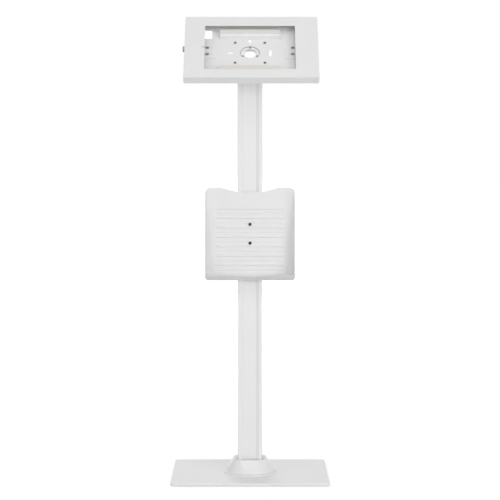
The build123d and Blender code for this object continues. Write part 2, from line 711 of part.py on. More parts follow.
def holder_spacer():
    """Plastic packer that fills the column's front recess behind the holder."""
    half = RECESS_FLOOR / 2 - STRIP_FIT
    middle = HOLDER_BOTTOM + HOLDER_SCREW_RISE
    rises = (middle - SPACER_HEIGHT / 2, middle + SPACER_HEIGHT / 2)
    body = block((-half, half), (-COLUMN_WIDTH / 2, -PANEL_FACE), rises)
    for rise in holder_screw_rises():
        hole = Rot(90, 0, 0) * Cylinder(HOLDER_SCREW[0] + SCREW_CLEARANCE, COLUMN_WIDTH / 2)
        body -= Pos(0, -COLUMN_WIDTH / 2, rise) * hole
    return body


def holder_nut_plate():
    """Threaded plate inside the column that the holder's screws pull against."""
    middle = HOLDER_BOTTOM + HOLDER_SCREW_RISE
    front = -CAVITY_WIDTH / 2
    rises = (middle - NUT_PLATE_HEIGHT / 2, middle + NUT_PLATE_HEIGHT / 2)
    half = NUT_PLATE_WIDTH / 2
    body = block((-half, half), (front, front + NUT_PLATE_THICKNESS), rises)
    for rise in holder_screw_rises():
        hole = Rot(90, 0, 0) * Cylinder(HOLDER_SCREW[0] + THREAD_FIT, COLUMN_WIDTH / 2)
        body -= Pos(0, -COLUMN_WIDTH / 2, rise) * hole
    return body


def holder_screws():
    """Two dark socket screws through the holder's back."""
    screw = Rot(90, 0, 0) * pan_screw(HOLDER_SCREW, HOLDER_SCREW_LENGTH)
    face = -COLUMN_WIDTH / 2 - HOLDER_WALL
    return Compound([Pos(0, face, rise) * screw for rise in holder_screw_rises()])


def ear_section(foot_half, height, centre_offset):
    """Tapered ear with a round end, foot on the x axis and end above it."""
    radius = TILT_EAR_RADIUS
    taper = make_face(Polyline(
        (-foot_half, 0), (foot_half, 0),
        (centre_offset + radius, height), (centre_offset - radius, height),
        close=True,
    ))
    return taper + Pos(centre_offset, height) * Circle(radius)


def head_bracket():
    """Steel bracket on the column's top with two ears for the tilt bolts."""
    body = Pos(0, 0, COLUMN_TOP) * extrude(
        RectangleRounded(BRACKET_WIDTH, BRACKET_DEPTH, CAVITY_CORNER_RADIUS), BRACKET_PLATE
    )
    section = Plane.YZ * ear_section(BRACKET_EAR_FOOT / 2, TILT_AXIS_RISE, TILT_AXIS_Y)
    for x in (-EAR_OUTER, EAR_INNER):
        body += Pos(x, 0, COLUMN_TOP) * extrude(section, BRACKET_EAR)
    body -= Pos(0, 0, COLUMN_TOP) * Cylinder(BLOCK_CABLE_BORE / 2, 3 * BRACKET_PLATE)
    for x, y in corners(2 * BRACKET_BOLT_X, BLOCK_BOLT_SPACING):
        body -= Pos(x, y, COLUMN_TOP) * Cylinder(BRACKET_SCREW[0] + SCREW_CLEARANCE, 3 * BRACKET_PLATE)
    bore = Rot(0, 90, 0) * Cylinder(TILT_BOLT[0] + THREAD_FIT, 2 * BRACKET_WIDTH)
    return body - Pos(0, TILT_AXIS_Y, TILT_AXIS_Z) * bore


def bracket_screws():
    """Four cap screws that hold the head bracket to the upper end block."""
    screw = pan_screw(BRACKET_SCREW, BRACKET_SCREW_LENGTH)
    top = COLUMN_TOP + BRACKET_PLATE
    places = corners(2 * BRACKET_BOLT_X, BLOCK_BOLT_SPACING)
    return Compound([Pos(x, y, top) * screw for x, y in places])


def tilt_bolts():
    """Two shoulder bolts, one in each ear, on which the yoke tilts."""
    seat = CHEEK_OUTER + FACE_GAP
    bolts = []
    for side in (-1, 1):
        bolt = Rot(0, 90 * side, 0) * pan_screw(TILT_BOLT, seat - EAR_INNER)
        bolts.append(Pos(side * seat, TILT_AXIS_Y, TILT_AXIS_Z) * bolt)
    return Compound(bolts)


def tilt_washers():
    """Two friction washers between the yoke's cheeks and the bracket's ears."""
    washers = []
    for side in (-1, 1):
        start = EAR_OUTER + FACE_GAP
        edges = sorted((side * start, side * (start + TILT_WASHER_THICKNESS)))
        ring = cross_bar(edges, TILT_RISE, TILT_DEPTH, TILT_WASHER_RADIUS)
        ring -= cross_bar(edges, TILT_RISE, TILT_DEPTH, TILT_BOLT[0] + RUNNING_FIT)
        washers.append(on_face(ring))
    return Compound(washers)


def stop_slot():
    """Arc slot in the yoke that ends the enclosure's quarter turn."""
    reach = STOP_PIN_RADIUS + STOP_PIN_CLEARANCE
    inner = STOP_PIN_CIRCLE - reach
    outer = STOP_PIN_CIRCLE + reach
    depth = through(YOKE_FRONT, YOKE_BACK)
    ring = bar(0, VESA_RISE, depth, outer) - bar(0, VESA_RISE, depth, inner)
    side = 2 * STOP_PIN_CIRCLE
    quarter = slab((-side, 0), (VESA_RISE, VESA_RISE + side), depth)
    slot = ring & quarter
    for x, rise in stop_pin_places():
        slot += bar(x, rise, depth, reach)
    return slot


def stop_pin_places():
    """Where the stop pin lies at both ends of the quarter turn, the rest place first."""
    return ((0, VESA_RISE + STOP_PIN_CIRCLE), (-STOP_PIN_CIRCLE, VESA_RISE))


def tilt_yoke():
    """Folded steel yoke: a plate behind the enclosure and two cheeks outside the ears."""
    rises = (VESA_RISE - YOKE_HALF_HEIGHT, VESA_RISE + YOKE_HALF_HEIGHT)
    body = slab((-CHEEK_OUTER, CHEEK_OUTER), rises, (YOKE_FRONT, YOKE_BACK))
    foot_half = YOKE_HALF_HEIGHT - YOKE_CHEEK_SET_BACK / 2
    middle = rises[1] - foot_half
    section = ear_section(foot_half, TILT_DEPTH - YOKE_FRONT, TILT_RISE - middle)
    # The section's x runs up the face and its y runs away behind it
    cheek = Plane(origin=(0, middle, -YOKE_FRONT), x_dir=(0, 1, 0), z_dir=(-1, 0, 0)) * section
    for x in (-CHEEK_INNER, CHEEK_OUTER):
        body += Pos(x, 0, 0) * extrude(cheek, YOKE_CHEEK)
    body -= bar(0, VESA_RISE, through(YOKE_FRONT, YOKE_BACK), HUB_TUBE_RADIUS + RUNNING_FIT)
    body -= cross_bar(through(-CHEEK_OUTER, CHEEK_OUTER), TILT_RISE, TILT_DEPTH, TILT_BOLT[0] + RUNNING_FIT)
    return on_face(body - stop_slot())


def tray_slots():
    """Cable-tie slots round the middle of the tray."""
    depth = through(TRAY_FRONT, TRAY_BACK)
    cut = Part()
    for x, rise, wide, high in (
        (0, TRAY_SLOT_RADIUS + TOP_SLOT_LIFT, TRAY_SLOT_WIDTH, TRAY_SLOT_LENGTH),
        (0, -TRAY_SLOT_RADIUS, TRAY_SLOT_LENGTH, TRAY_SLOT_WIDTH),
        (-TRAY_SLOT_RADIUS, 0, TRAY_SLOT_LENGTH, TRAY_SLOT_WIDTH),
        (TRAY_SLOT_RADIUS + RIGHT_SLOT_SHIFT, 0, TRAY_SLOT_WIDTH, TRAY_SLOT_LENGTH + RIGHT_SLOT_EXTRA),
    ):
        slot = extrude(RectangleRounded(wide, high, TRAY_SLOT_ROUND), depth[1] - depth[0])
        cut += Pos(x, rise + VESA_RISE, -depth[1]) * slot
    return cut


def vesa_places():
    """Centres of the four mounting screws."""
    return [(x, y + VESA_RISE) for x, y in corners(VESA_PITCH, VESA_PITCH)]


def ring_screw_places():
    """Centres of the screws round the hub, the first one straight up."""
    step = 360 / RING_SCREW_COUNT
    angles = [radians(90 + step * index) for index in range(RING_SCREW_COUNT)]
    return [
        (RING_SCREW_CIRCLE * cos(angle), VESA_RISE + RING_SCREW_CIRCLE * sin(angle))
        for angle in angles
    ]


def clamp_screw_places(side):
    """Centres of the two screws that guide a clamp, fixed in the tray."""
    x = CLAMP_INNER_EDGE + CLAMP_REACH / 2 - CLAMP_SCREW_SHIFT
    return [(side * x, CLAMP_RISE + half * CLAMP_SLOT_PITCH / 2) for half in (-1, 1)]


def enclosure_tray():
    """Sheet steel tray that carries the tablet, with low walls and its openings."""
    corner = COVER_CORNER_RADIUS - SHEET - TRAY_GAP
    outline = RectangleRounded(TRAY_RIGHT - TRAY_LEFT, 2 * TRAY_TOP, corner)
    outer = extrude(outline, TRAY_WALL_HEIGHT + SHEET)
    outer = Pos((TRAY_RIGHT + TRAY_LEFT) / 2, 0, -TRAY_BACK) * outer
    inner = slab(
        (TRAY_LEFT + SHEET, TRAY_RIGHT - SHEET),
        (-TRAY_TOP + SHEET, TRAY_TOP - SHEET),
        (0, TRAY_FRONT),
    )
    body = outer - inner
    depth = through(TRAY_FRONT, TRAY_BACK)
    body -= bar(0, VESA_RISE, depth, RING_HOLE_RADIUS)
    for x, rise in vesa_places():
        body -= bar(x, rise, depth, VESA_SCREW[0] + SCREW_CLEARANCE)
    body -= tray_slots()
    port = extrude(RectangleRounded(PORT_WIDTH, PORT_HEIGHT, PORT_CORNER_RADIUS), depth[1] - depth[0])
    body -= Pos(PORT_X, PORT_RISE, -depth[1]) * port
    for side in (-1, 1):
        for x, rise in clamp_screw_places(side):
            body -= bar(x, rise, depth, CLAMP_SCREW[0] + THREAD_FIT)
        pin_ends = sorted((side * (TRAY_TOP - 2 * SHEET), side * (TRAY_TOP + CUT_PAST)))
        body -= hinge_bar(pin_ends, HINGE_PIN_RADIUS + THREAD_FIT)
    notch_depth = (0, TRAY_FRONT)
    body -= slab((COVER_LEFT, TRAY_LEFT + 2 * SHEET), (-LOCK_NOTCH_HALF, LOCK_NOTCH_HALF), notch_depth)
    return on_face(body)


def hinge_bar(rise_range, radius):
    """A round bar on the cover's hinge axis, in the enclosure's frame."""
    length = rise_range[1] - rise_range[0]
    middle = (rise_range[0] + rise_range[1]) / 2
    return Pos(HINGE_X, middle, -HINGE_DEPTH) * Rot(90, 0, 0) * Cylinder(radius, length)


def hinge_pins():
    """Two rivets on one axis that the cover turns on, pressed into the tray's walls."""
    pins = []
    for side in (-1, 1):
        inside = TRAY_TOP - SHEET
        shank_ends = sorted((side * (inside - HINGE_PIN_BITE), side * COVER_TOP))
        shank = hinge_bar(shank_ends, HINGE_PIN_RADIUS)
        head = hinge_bar(sorted((side * (inside - HINGE_PIN_HEAD), side * inside)), HINGE_PIN_HEAD_RADIUS)
        pins.append(on_face(shank + head))
    return Compound(pins)


def enclosure_cover():
    """Front cover with the tablet window, folded back all round and hinged at the right."""
    outline = RectangleRounded(COVER_WIDTH, COVER_HEIGHT_UP, COVER_CORNER_RADIUS)
    body = Pos(COVER_OFFSET_X, 0, -COVER_DEPTH) * extrude(outline, COVER_DEPTH)
    body = fillet(body.edges().group_by(Axis.Z)[-1], COVER_EDGE)
    inside = RectangleRounded(
        COVER_WIDTH - 2 * SHEET, COVER_HEIGHT_UP - 2 * SHEET, COVER_CORNER_RADIUS - SHEET
    )
    body -= Pos(COVER_OFFSET_X, 0, -COVER_DEPTH) * extrude(inside, COVER_DEPTH - SHEET)
    window = RectangleRounded(WINDOW_WIDTH, WINDOW_HEIGHT, WINDOW_CORNER_RADIUS)
    body -= Pos(0, WINDOW_RISE, -2 * SHEET) * extrude(window, 3 * SHEET)
    edge = -WINDOW_WIDTH / 2
    notch_rises = (NOTCH_RISE - NOTCH_HEIGHT / 2, NOTCH_RISE + NOTCH_HEIGHT / 2)
    body -= slab((edge - NOTCH_LENGTH, edge + CUT_PAST), notch_rises, through(0, SHEET))
    body -= hinge_bar(through(-COVER_TOP, COVER_TOP), HINGE_PIN_RADIUS + RUNNING_FIT)
    body -= cross_bar(through(COVER_LEFT, COVER_LEFT + SHEET), 0, LOCK_DEPTH, LOCK_BARREL_RADIUS + THREAD_FIT)
    return on_face(body)


def lock_housing():
    """Barrel of the cam lock with its round head outside the cover."""
    head = cross_bar((COVER_LEFT - LOCK_HEAD_LENGTH, COVER_LEFT), 0, LOCK_DEPTH, LOCK_HEAD_RADIUS)
    head = fillet(head.edges().sort_by(Axis.X)[0], LOCK_HEAD_EDGE)
    barrel_ends = (COVER_LEFT - CUT_PAST, COVER_LEFT + LOCK_BARREL_LENGTH)
    body = head + cross_bar(barrel_ends, 0, LOCK_DEPTH, LOCK_BARREL_RADIUS)
    bore_ends = through(COVER_LEFT - LOCK_HEAD_LENGTH, COVER_LEFT + LOCK_BARREL_LENGTH)
    return on_face(body - cross_bar(bore_ends, 0, LOCK_DEPTH, LOCK_PLUG_RADIUS + RUNNING_FIT))


def lock_nut():
    """Hexagon nut that holds the lock in the cover's side."""
    start = COVER_LEFT + SHEET
    flats = RegularPolygon(LOCK_NUT_FLATS / 2, 6, major_radius=False, rotation=30)
    hexagon = extrude(flats, LOCK_NUT_THICKNESS)
    body = Pos(start, 0, -LOCK_DEPTH) * Rot(0, 90, 0) * hexagon
    hole_ends = through(start, start + LOCK_NUT_THICKNESS)
    return on_face(body - cross_bar(hole_ends, 0, LOCK_DEPTH, LOCK_BARREL_RADIUS + THREAD_FIT))


def lock_plug():
    """Turning plug of the lock with its keyway."""
    front = COVER_LEFT - LOCK_HEAD_LENGTH - LOCK_PLUG_PROUD
    back = COVER_LEFT + LOCK_BARREL_LENGTH + CAM_GAP
    body = cross_bar((front, back), 0, LOCK_DEPTH, LOCK_PLUG_RADIUS)
    half = KEYWAY_LENGTH / 2
    depth = (LOCK_DEPTH - KEYWAY_WIDTH / 2, LOCK_DEPTH + KEYWAY_WIDTH / 2)
    body -= slab((front - CUT_PAST, front + KEYWAY_DEPTH), (-half, half), depth)
    return on_face(body)


def lock_cam():
    """Cam on the plug's inner end, pointing to the back of the enclosure while unlocked."""
    start = COVER_LEFT + LOCK_BARREL_LENGTH + CAM_GAP
    ends = (start, start + CAM_THICKNESS)
    body = cross_bar(ends, 0, LOCK_DEPTH, CAM_HUB_RADIUS)
    body += slab(ends, (-CAM_HALF_WIDTH, CAM_HALF_WIDTH), (LOCK_DEPTH, LOCK_DEPTH + CAM_REACH))
    hole_ends = through(start, start + CAM_THICKNESS)
    return on_face(body - cross_bar(hole_ends, 0, LOCK_DEPTH, CAM_SCREW[0] + THREAD_FIT))


def cam_screw():
    """Small screw that holds the cam to the plug."""
    start = COVER_LEFT + LOCK_BARREL_LENGTH + CAM_GAP + CAM_THICKNESS
    screw = Rot(0, 90, 0) * pan_screw(CAM_SCREW, CAM_THICKNESS - CAM_SCREW_SHORT)
    return on_face(Pos(start, 0, -LOCK_DEPTH) * screw)


def lock_strike():
    """Hooked tab on the tray that the cam turns behind."""
    start = COVER_LEFT + LOCK_BARREL_LENGTH + STRIKE_GAP
    ends = (start, start + STRIKE_WIDTH)
    upright = (STRIKE_UPRIGHT, STRIKE_UPRIGHT + SHEET)
    lip = (STRIKE_LIP_DEPTH, STRIKE_LIP_DEPTH + SHEET)
    body = slab(ends, upright, (STRIKE_LIP_DEPTH, TRAY_FRONT))
    body += slab(ends, (STRIKE_LIP_START, upright[1]), lip)
    body += slab(ends, (upright[0], upright[0] + STRIKE_FOOT), (TRAY_FRONT - SHEET, TRAY_FRONT))
    return on_face(body)


def vesa_plate():
    """Steel plate behind the tray that joins it to the rotation hub, hollowed on all four sides."""
    outline = RectangleRounded(VESA_PLATE_WIDTH, VESA_PLATE_WIDTH, VESA_PLATE_CORNER)
    body = Pos(0, VESA_RISE, -PLATE_BACK) * extrude(outline, VESA_PLATE_THICKNESS)
    depth = through(TRAY_BACK, PLATE_BACK)
    body -= bar(0, VESA_RISE, depth, VESA_PLATE_HOLE)
    for x, rise in vesa_places():
        body -= bar(x, rise, depth, VESA_SCREW[0] + THREAD_FIT)
    place = VESA_SCALLOP_PLACE
    for x, rise in ((place, 0), (-place, 0), (0, place), (0, -place)):
        body -= bar(x, VESA_RISE + rise, depth, VESA_SCALLOP_RADIUS)
    sink = countersink(RING_SCREW, VESA_PLATE_THICKNESS + CUT_PAST, THREAD_FIT)
    for x, rise in ring_screw_places():
        body -= Pos(x, rise, -TRAY_BACK) * sink
    return on_face(body)


def vesa_screws():
    """Four black screws from inside the tray into the mounting plate."""
    screw = pan_screw(VESA_SCREW, SHEET + VESA_PLATE_THICKNESS)
    return Compound([on_face(Pos(x, rise, -TRAY_FRONT) * screw) for x, rise in vesa_places()])


def rotation_hub():
    """Flanged tube that the enclosure turns on, open in the middle for the cable."""
    body = bar(0, VESA_RISE, (PLATE_BACK, FLANGE_BACK), HUB_FLANGE_RADIUS)
    body += bar(0, VESA_RISE, (PLATE_BACK, HUB_END), HUB_TUBE_RADIUS)
    body -= bar(0, VESA_RISE, (FLANGE_BACK, HUB_END + CUT_PAST), HUB_TUBE_BORE)
    body -= bar(0, VESA_RISE, through(PLATE_BACK, HUB_END), HUB_BORE_RADIUS)
    flange_depth = through(PLATE_BACK, FLANGE_BACK)
    for x, rise in ring_screw_places():
        body -= bar(x, rise, flange_depth, RING_SCREW[0] + THREAD_FIT)
    x, rise = stop_pin_places()[0]
    body -= bar(x, rise, flange_depth, STOP_PIN_RADIUS + THREAD_FIT)
    return on_face(body)


def ring_screws():
    """Three countersunk screws that hold the hub to the mounting plate."""
    screw = flat_screw(RING_SCREW, VESA_PLATE_THICKNESS + HUB_FLANGE_THICKNESS)
    return Compound([on_face(Pos(x, rise, -TRAY_BACK) * screw) for x, rise in ring_screw_places()])


def friction_washer(front, radius):
    """One friction washer round the hub's tube, its front face at a depth."""
    depth = (front, front + FRICTION_WASHER)
    return bar(0, VESA_RISE, depth, radius) - bar(0, VESA_RISE, depth, HUB_TUBE_RADIUS + THREAD_FIT)


def hub_lock_ring():
    """Slotted ring nut on the hub's end that sets the turning friction."""
    depth = (LOCK_RING_FRONT, LOCK_RING_FRONT + LOCK_RING_THICKNESS)
    body = bar(0, VESA_RISE, depth, LOCK_RING_RADIUS)
    body -= bar(0, VESA_RISE, depth, HUB_TUBE_RADIUS + THREAD_FIT)
    notch = Box(LOCK_RING_NOTCH, LOCK_RING_NOTCH, 4 * LOCK_RING_THICKNESS)
    for angle in range(45, 360, 90):
        body -= Pos(0, VESA_RISE, -depth[1]) * Rot(0, 0, angle) * Pos(LOCK_RING_RADIUS, 0, 0) * notch
    return on_face(body)


def rotation_stop_pin():
    """Pin in the hub's flange that runs in the yoke's arc slot."""
    x, rise = stop_pin_places()[0]
    return on_face(bar(x, rise, (PLATE_BACK, YOKE_BACK - STOP_PIN_SHORT), STOP_PIN_RADIUS))


def clamp(side):
    """Sliding clamp: a slotted foot on the tray and a jaw at the tablet's edge."""
    inner, outer = CLAMP_INNER_EDGE, CLAMP_INNER_EDGE + CLAMP_REACH
    rises = (CLAMP_RISE - CLAMP_HEIGHT / 2, CLAMP_RISE + CLAMP_HEIGHT / 2)
    depth = (TRAY_FRONT - FACE_GAP - CLAMP_SHEET, TRAY_FRONT - FACE_GAP)
    body = slab(sorted((side * inner, side * outer)), rises, depth)
    jaw_depth = (depth[1] - CLAMP_JAW_HEIGHT, depth[1])
    body += slab(sorted((side * CLAMP_JAW, side * (CLAMP_JAW + CLAMP_SHEET))), rises, jaw_depth)
    travel = CLAMP_IN + CLAMP_OUT
    width = 2 * (CLAMP_SCREW[0] + RUNNING_FIT)
    for x, rise in clamp_screw_places(side):
        middle = x + side * (CLAMP_IN - CLAMP_OUT) / 2
        slot = extrude(SlotCenterToCenter(travel + CLAMP_SLOT_EXTRA, width), 3 * CLAMP_SHEET)
        body -= Pos(middle, rise, -depth[1] - CLAMP_SHEET) * slot
    return on_face(body)


def clamp_pad(side):
    """Thin rubber facing on a clamp's jaw."""
    half = CLAMP_HEIGHT / 2 - CLAMP_PAD_MARGIN
    rises = (CLAMP_RISE - half, CLAMP_RISE + half)
    back = TRAY_FRONT - FACE_GAP
    depth = (back - CLAMP_JAW_HEIGHT + CLAMP_PAD_EDGE, back - CLAMP_SHEET - CLAMP_PAD_EDGE)
    return on_face(slab(sorted((side * (CLAMP_JAW - CLAMP_PAD), side * CLAMP_JAW)), rises, depth))


def clamp_screws(side):
    """Two screws that guide one clamp in its slots."""
    gap = CLAMP_SHEET + 2 * FACE_GAP
    screw = pan_screw(CLAMP_SCREW, gap + SHEET)
    return Compound([
        on_face(Pos(x, rise, -TRAY_FRONT + gap) * screw) for x, rise in clamp_screw_places(side)
    ])


def foam_strip(rise):
    """One foam strip on the tray that the tablet's back rests on."""
    half = FOAM_LENGTH / 2
    rises = (rise - FOAM_WIDTH / 2, rise + FOAM_WIDTH / 2)
    return on_face(slab((-half, half), rises, (FOAM_FRONT + LINER_THICKNESS, TRAY_FRONT)))


def foam_liners():
    """Thin facings on the upper part of both foam strips' fronts."""
    half = FOAM_LENGTH / 2
    facings = []
    for rise in (LOWER_FOAM_RISE, UPPER_FOAM_RISE):
        top = rise + FOAM_WIDTH / 2
        rises = (top - LINER_WIDTH, top)
        facings.append(on_face(slab((-half, half), rises, (FOAM_FRONT, FOAM_FRONT + LINER_THICKNESS))))
    return Compound(facings)


PIECES = {
    "base_plate": base_plate(),
    "rubber_feet": rubber_feet(),
    "base_bolts": base_bolts(),
    "foot_block": foot_block(),
    "column_profile": column_profile(),
    "column_side_screws": side_screws(),
    "rear_cable_cover": rear_cable_cover(),
    "cable_grommet": cable_grommet(),
    "foot_cover": foot_cover(),
    "top_block": top_block(),
    "brochure_holder": brochure_holder(),
    "holder_spacer": holder_spacer(),
    "holder_nut_plate": holder_nut_plate(),
    "holder_screws": holder_screws(),
    "head_bracket": head_bracket(),
    "bracket_screws": bracket_screws(),
    "tilt_bolts": tilt_bolts(),
    "tilt_friction_washers": tilt_washers(),
    "tilt_yoke": tilt_yoke(),
    "enclosure_tray": enclosure_tray(),
    "hinge_pins": hinge_pins(),
    "lock_strike": lock_strike(),
    "vesa_plate": vesa_plate(),
    "vesa_screws": vesa_screws(),
    "rotation_hub": rotation_hub(),
    "ring_screws": ring_screws(),
    "front_friction_washer": on_face(friction_washer(FLANGE_BACK, FRONT_WASHER_RADIUS)),
    "rear_friction_washer": on_face(friction_washer(REAR_WASHER_FRONT, LOCK_RING_RADIUS)),
    "hub_lock_ring": hub_lock_ring(),
    "rotation_stop_pin": rotation_stop_pin(),
    "left_clamp_screws": clamp_screws(-1),
    "right_clamp_screws": clamp_screws(1),
    "upper_foam_strip": foam_strip(UPPER_FOAM_RISE),
    "lower_foam_strip": foam_strip(LOWER_FOAM_RISE),
    "foam_liners": foam_liners(),
    "enclosure_cover": enclosure_cover(),
    "lock_housing": lock_housing(),
    "lock_nut": lock_nut(),
    "lock_plug": lock_plug(),
    "lock_cam": lock_cam(),
    "cam_screw": cam_screw(),
    "left_clamp": clamp(-1),
    "left_clamp_pad": clamp_pad(-1),
    "right_clamp": clamp(1),
    "right_clamp_pad": clamp_pad(1),
}

for name, shape in PIECES.items():
    export_step(shape, f"parts/{name}.step")
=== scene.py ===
"""Tablet floor stand, dressed for rendering.

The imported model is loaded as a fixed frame. Each of its pieces gets its finish. The screws, feet,
clamp pads and foam rests that the solids leave plain are modelled here, and the studio is set up.
Lengths are metres, +Z is up and the front of the stand faces -Y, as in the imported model.
"""
from __future__ import annotations

import json
import logging
import math
from abc import ABC, abstractmethod
from collections.abc import Sequence
from dataclasses import dataclass, replace
from enum import Enum

import bmesh
import bpy
from mathutils import Matrix, Vector

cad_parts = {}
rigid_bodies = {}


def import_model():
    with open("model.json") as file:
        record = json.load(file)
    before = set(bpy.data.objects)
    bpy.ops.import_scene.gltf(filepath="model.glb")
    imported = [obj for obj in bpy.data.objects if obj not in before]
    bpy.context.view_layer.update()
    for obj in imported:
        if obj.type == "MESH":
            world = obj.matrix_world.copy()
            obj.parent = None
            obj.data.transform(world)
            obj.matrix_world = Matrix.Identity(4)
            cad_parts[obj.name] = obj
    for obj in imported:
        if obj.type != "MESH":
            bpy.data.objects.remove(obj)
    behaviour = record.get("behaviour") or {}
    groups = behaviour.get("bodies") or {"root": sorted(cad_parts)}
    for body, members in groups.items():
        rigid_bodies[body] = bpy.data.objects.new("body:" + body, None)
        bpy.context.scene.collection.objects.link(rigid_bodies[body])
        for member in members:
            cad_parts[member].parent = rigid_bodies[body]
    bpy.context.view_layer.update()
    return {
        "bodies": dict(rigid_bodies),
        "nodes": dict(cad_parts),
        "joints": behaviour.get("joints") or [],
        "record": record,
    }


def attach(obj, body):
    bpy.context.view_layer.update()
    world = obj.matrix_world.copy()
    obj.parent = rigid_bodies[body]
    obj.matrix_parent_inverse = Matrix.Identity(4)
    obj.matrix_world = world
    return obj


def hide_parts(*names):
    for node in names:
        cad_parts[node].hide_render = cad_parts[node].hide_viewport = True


LOG = logging.getLogger("tablet_stand")
MILLIMETRE = 0.001
SHARP_EDGE = math.radians(35)
WELD_DISTANCE = 0.001 * MILLIMETRE
# Most of a noise lies between these two of its values.
NOISE_MIDDLE = (0.3, 0.7)
# Size of the blotches in the roughness, as a share of those in the colour.
ROUGHNESS_BLOTCH = 0.35
WHITE_LIGHT = (1.0, 1.0, 1.0, 1.0)

Colour = tuple[float, float, float]
Value = float | Sequence[float] | bpy.types.NodeSocket


class Direction(Enum):
    """The way in which tool marks, die lines or fibres run."""

    NONE = (1.0, 1.0, 1.0)
    ALONG_COLUMN = (1.0, 1.0, 0.012)
    ACROSS = (0.03, 1.0, 1.0)


class Side(Enum):
    """A side of the enclosure, with the sign of the way inwards across it."""

    LEFT = 1.0
    RIGHT = -1.0


class NodeTree:
    """Short calls to fill a node tree, shared by materials and shapes."""

    def __init__(self, tree: bpy.types.NodeTree) -> None:
        """Keep the node tree that is filled, empty or not."""
        self.tree = tree

    def add(
        self, kind: str, inputs: dict[str | int, Value] | None = None, **settings: object
    ) -> bpy.types.Node:
        """Add a node, set its options and feed its inputs.

        Args:
            kind: The node's type name.
            inputs: Values or sockets for its inputs, by name or number.
            **settings: Properties of the node.

        Returns:
            The new node.
        """
        node = self.tree.nodes.new(kind)
        for key, value in settings.items():
            setattr(node, key, value)
        for key, value in (inputs or {}).items():
            self.feed(node.inputs[key], value)
        return node

    def feed(self, socket: bpy.types.NodeSocket, value: Value) -> None:
        """Link a socket to an input, or write a plain value on it.

        Args:
            socket: The input.
            value: An output socket or a plain value.
        """
        if isinstance(value, bpy.types.NodeSocket):
            self.tree.links.new(value, socket)
        else:
            socket.default_value = value

    def vector(self, operation: str, first: Value, second: Value | None = None) -> bpy.types.NodeSocket:
        """One step of vector arithmetic.

        Args:
            operation: Name of the operation.
            first: Its first operand.
            second: Its second operand, where it has one.

        Returns:
            The result's socket.
        """
        node = self.add("ShaderNodeVectorMath", {0: first}, operation=operation)
        if second is not None:
            self.feed(node.inputs["Scale" if operation == "SCALE" else 1], second)
        return node.outputs["Value" if operation in ("LENGTH", "DOT_PRODUCT") else "Vector"]

    def math(self, operation: str, first: Value, second: Value = 0.0) -> bpy.types.NodeSocket:
        """One step of plain arithmetic."""
        return self.add("ShaderNodeMath", {0: first, 1: second}, operation=operation).outputs[0]

    def times(self, *factors: Value) -> bpy.types.NodeSocket:
        """Multiply two or more numbers.

        Args:
            *factors: The numbers, of which one or more are sockets.

        Returns:
            The product's socket.
        """
        product = factors[0]
        for factor in factors[1:]:
            product = self.math("MULTIPLY", product, factor)
        return product


class SurfaceTree(NodeTree):
    """A material's node tree round one Principled shader."""

    def __init__(self, name: str) -> None:
        """Make the material.

        Args:
            name: Name of the material.
        """
        self.material = bpy.data.materials.new(name)
        self.material.use_nodes = True
        super().__init__(self.material.node_tree)
        self.tree.nodes.clear()
        self.shader = self.add("ShaderNodeBsdfPrincipled")
        self.add("ShaderNodeOutputMaterial", {"Surface": self.shader.outputs["BSDF"]})
        self.coordinates = self.add("ShaderNodeTexCoord").outputs["Object"]

    def stretched(self, direction: Direction) -> bpy.types.NodeSocket:
        """Coordinates drawn out along the marks that run in a direction."""
        mapping = self.add("ShaderNodeMapping", {"Vector": self.coordinates, "Scale": direction.value})
        return mapping.outputs["Vector"]

    def noise(
        self, cell: float, detail: float = 2.0, direction: Direction = Direction.NONE
    ) -> bpy.types.NodeSocket:
        """Soft noise from 0 to 1 with blotches of a size in metres, drawn out in a direction."""
        inputs = {"Vector": self.stretched(direction), "Scale": 1.0 / cell, "Detail": detail}
        return self.add("ShaderNodeTexNoise", inputs).outputs["Fac"]

    def cells(self, size: float) -> bpy.types.NodeSocket:
        """Distance from the middle of the nearest cell, for grains and pores of a mean size in metres."""
        inputs = {"Vector": self.coordinates, "Scale": 1.0 / size}
        return self.add("ShaderNodeTexVoronoi", inputs).outputs["Distance"]

    def spread(self, share: bpy.types.NodeSocket, low: float, high: float) -> bpy.types.NodeSocket:
        """Map the middle of a noise to a pair of limits.

        Args:
            share: The noise.
            low: Value at its low end.
            high: Value at its high end.

        Returns:
            The mapped socket.
        """
        inputs = {"Value": share, "From Min": NOISE_MIDDLE[0], "From Max": NOISE_MIDDLE[1]}
        inputs |= {"To Min": low, "To Max": high}
        return self.add("ShaderNodeMapRange", inputs).outputs["Result"]

    def tint(self, share: bpy.types.NodeSocket, low: Colour, high: Colour) -> bpy.types.NodeSocket:
        """Blend two colours by a noise.

        Args:
            share: The noise.
            low: Colour at its low end.
            high: Colour at its high end.

        Returns:
            The colour's socket.
        """
        ramp = self.add("ShaderNodeValToRGB", {"Fac": share})
        for element, colour, place in zip(ramp.color_ramp.elements, (low, high), NOISE_MIDDLE):
            element.color = (*colour, 1.0)
            element.position = place
        return ramp.outputs["Color"]

    def bump(
        self, height: bpy.types.NodeSocket, depth: float, under: bpy.types.NodeSocket | None = None
    ) -> bpy.types.NodeSocket:
        """Turn a height from 0 to 1 into a normal.

        Args:
            height: The height's socket.
            depth: Depth in metres from 0 to 1.
            under: The normal of a coarser bump below this one.

        Returns:
            The normal's socket.
        """
        node = self.add("ShaderNodeBump", {"Height": height, "Distance": depth, "Strength": 1.0})
        if under is not None:
            self.feed(node.inputs["Normal"], under)
        return node.outputs["Normal"]


def add_object(name: str, data: bpy.types.ID) -> bpy.types.Object:
    """Make an object and put it in the scene.

    Args:
        name: Name of the object.
        data: Its mesh, light or camera.

    Returns:
        The object.
    """
    made = bpy.data.objects.new(name, data)
    bpy.context.scene.collection.objects.link(made)
    return made


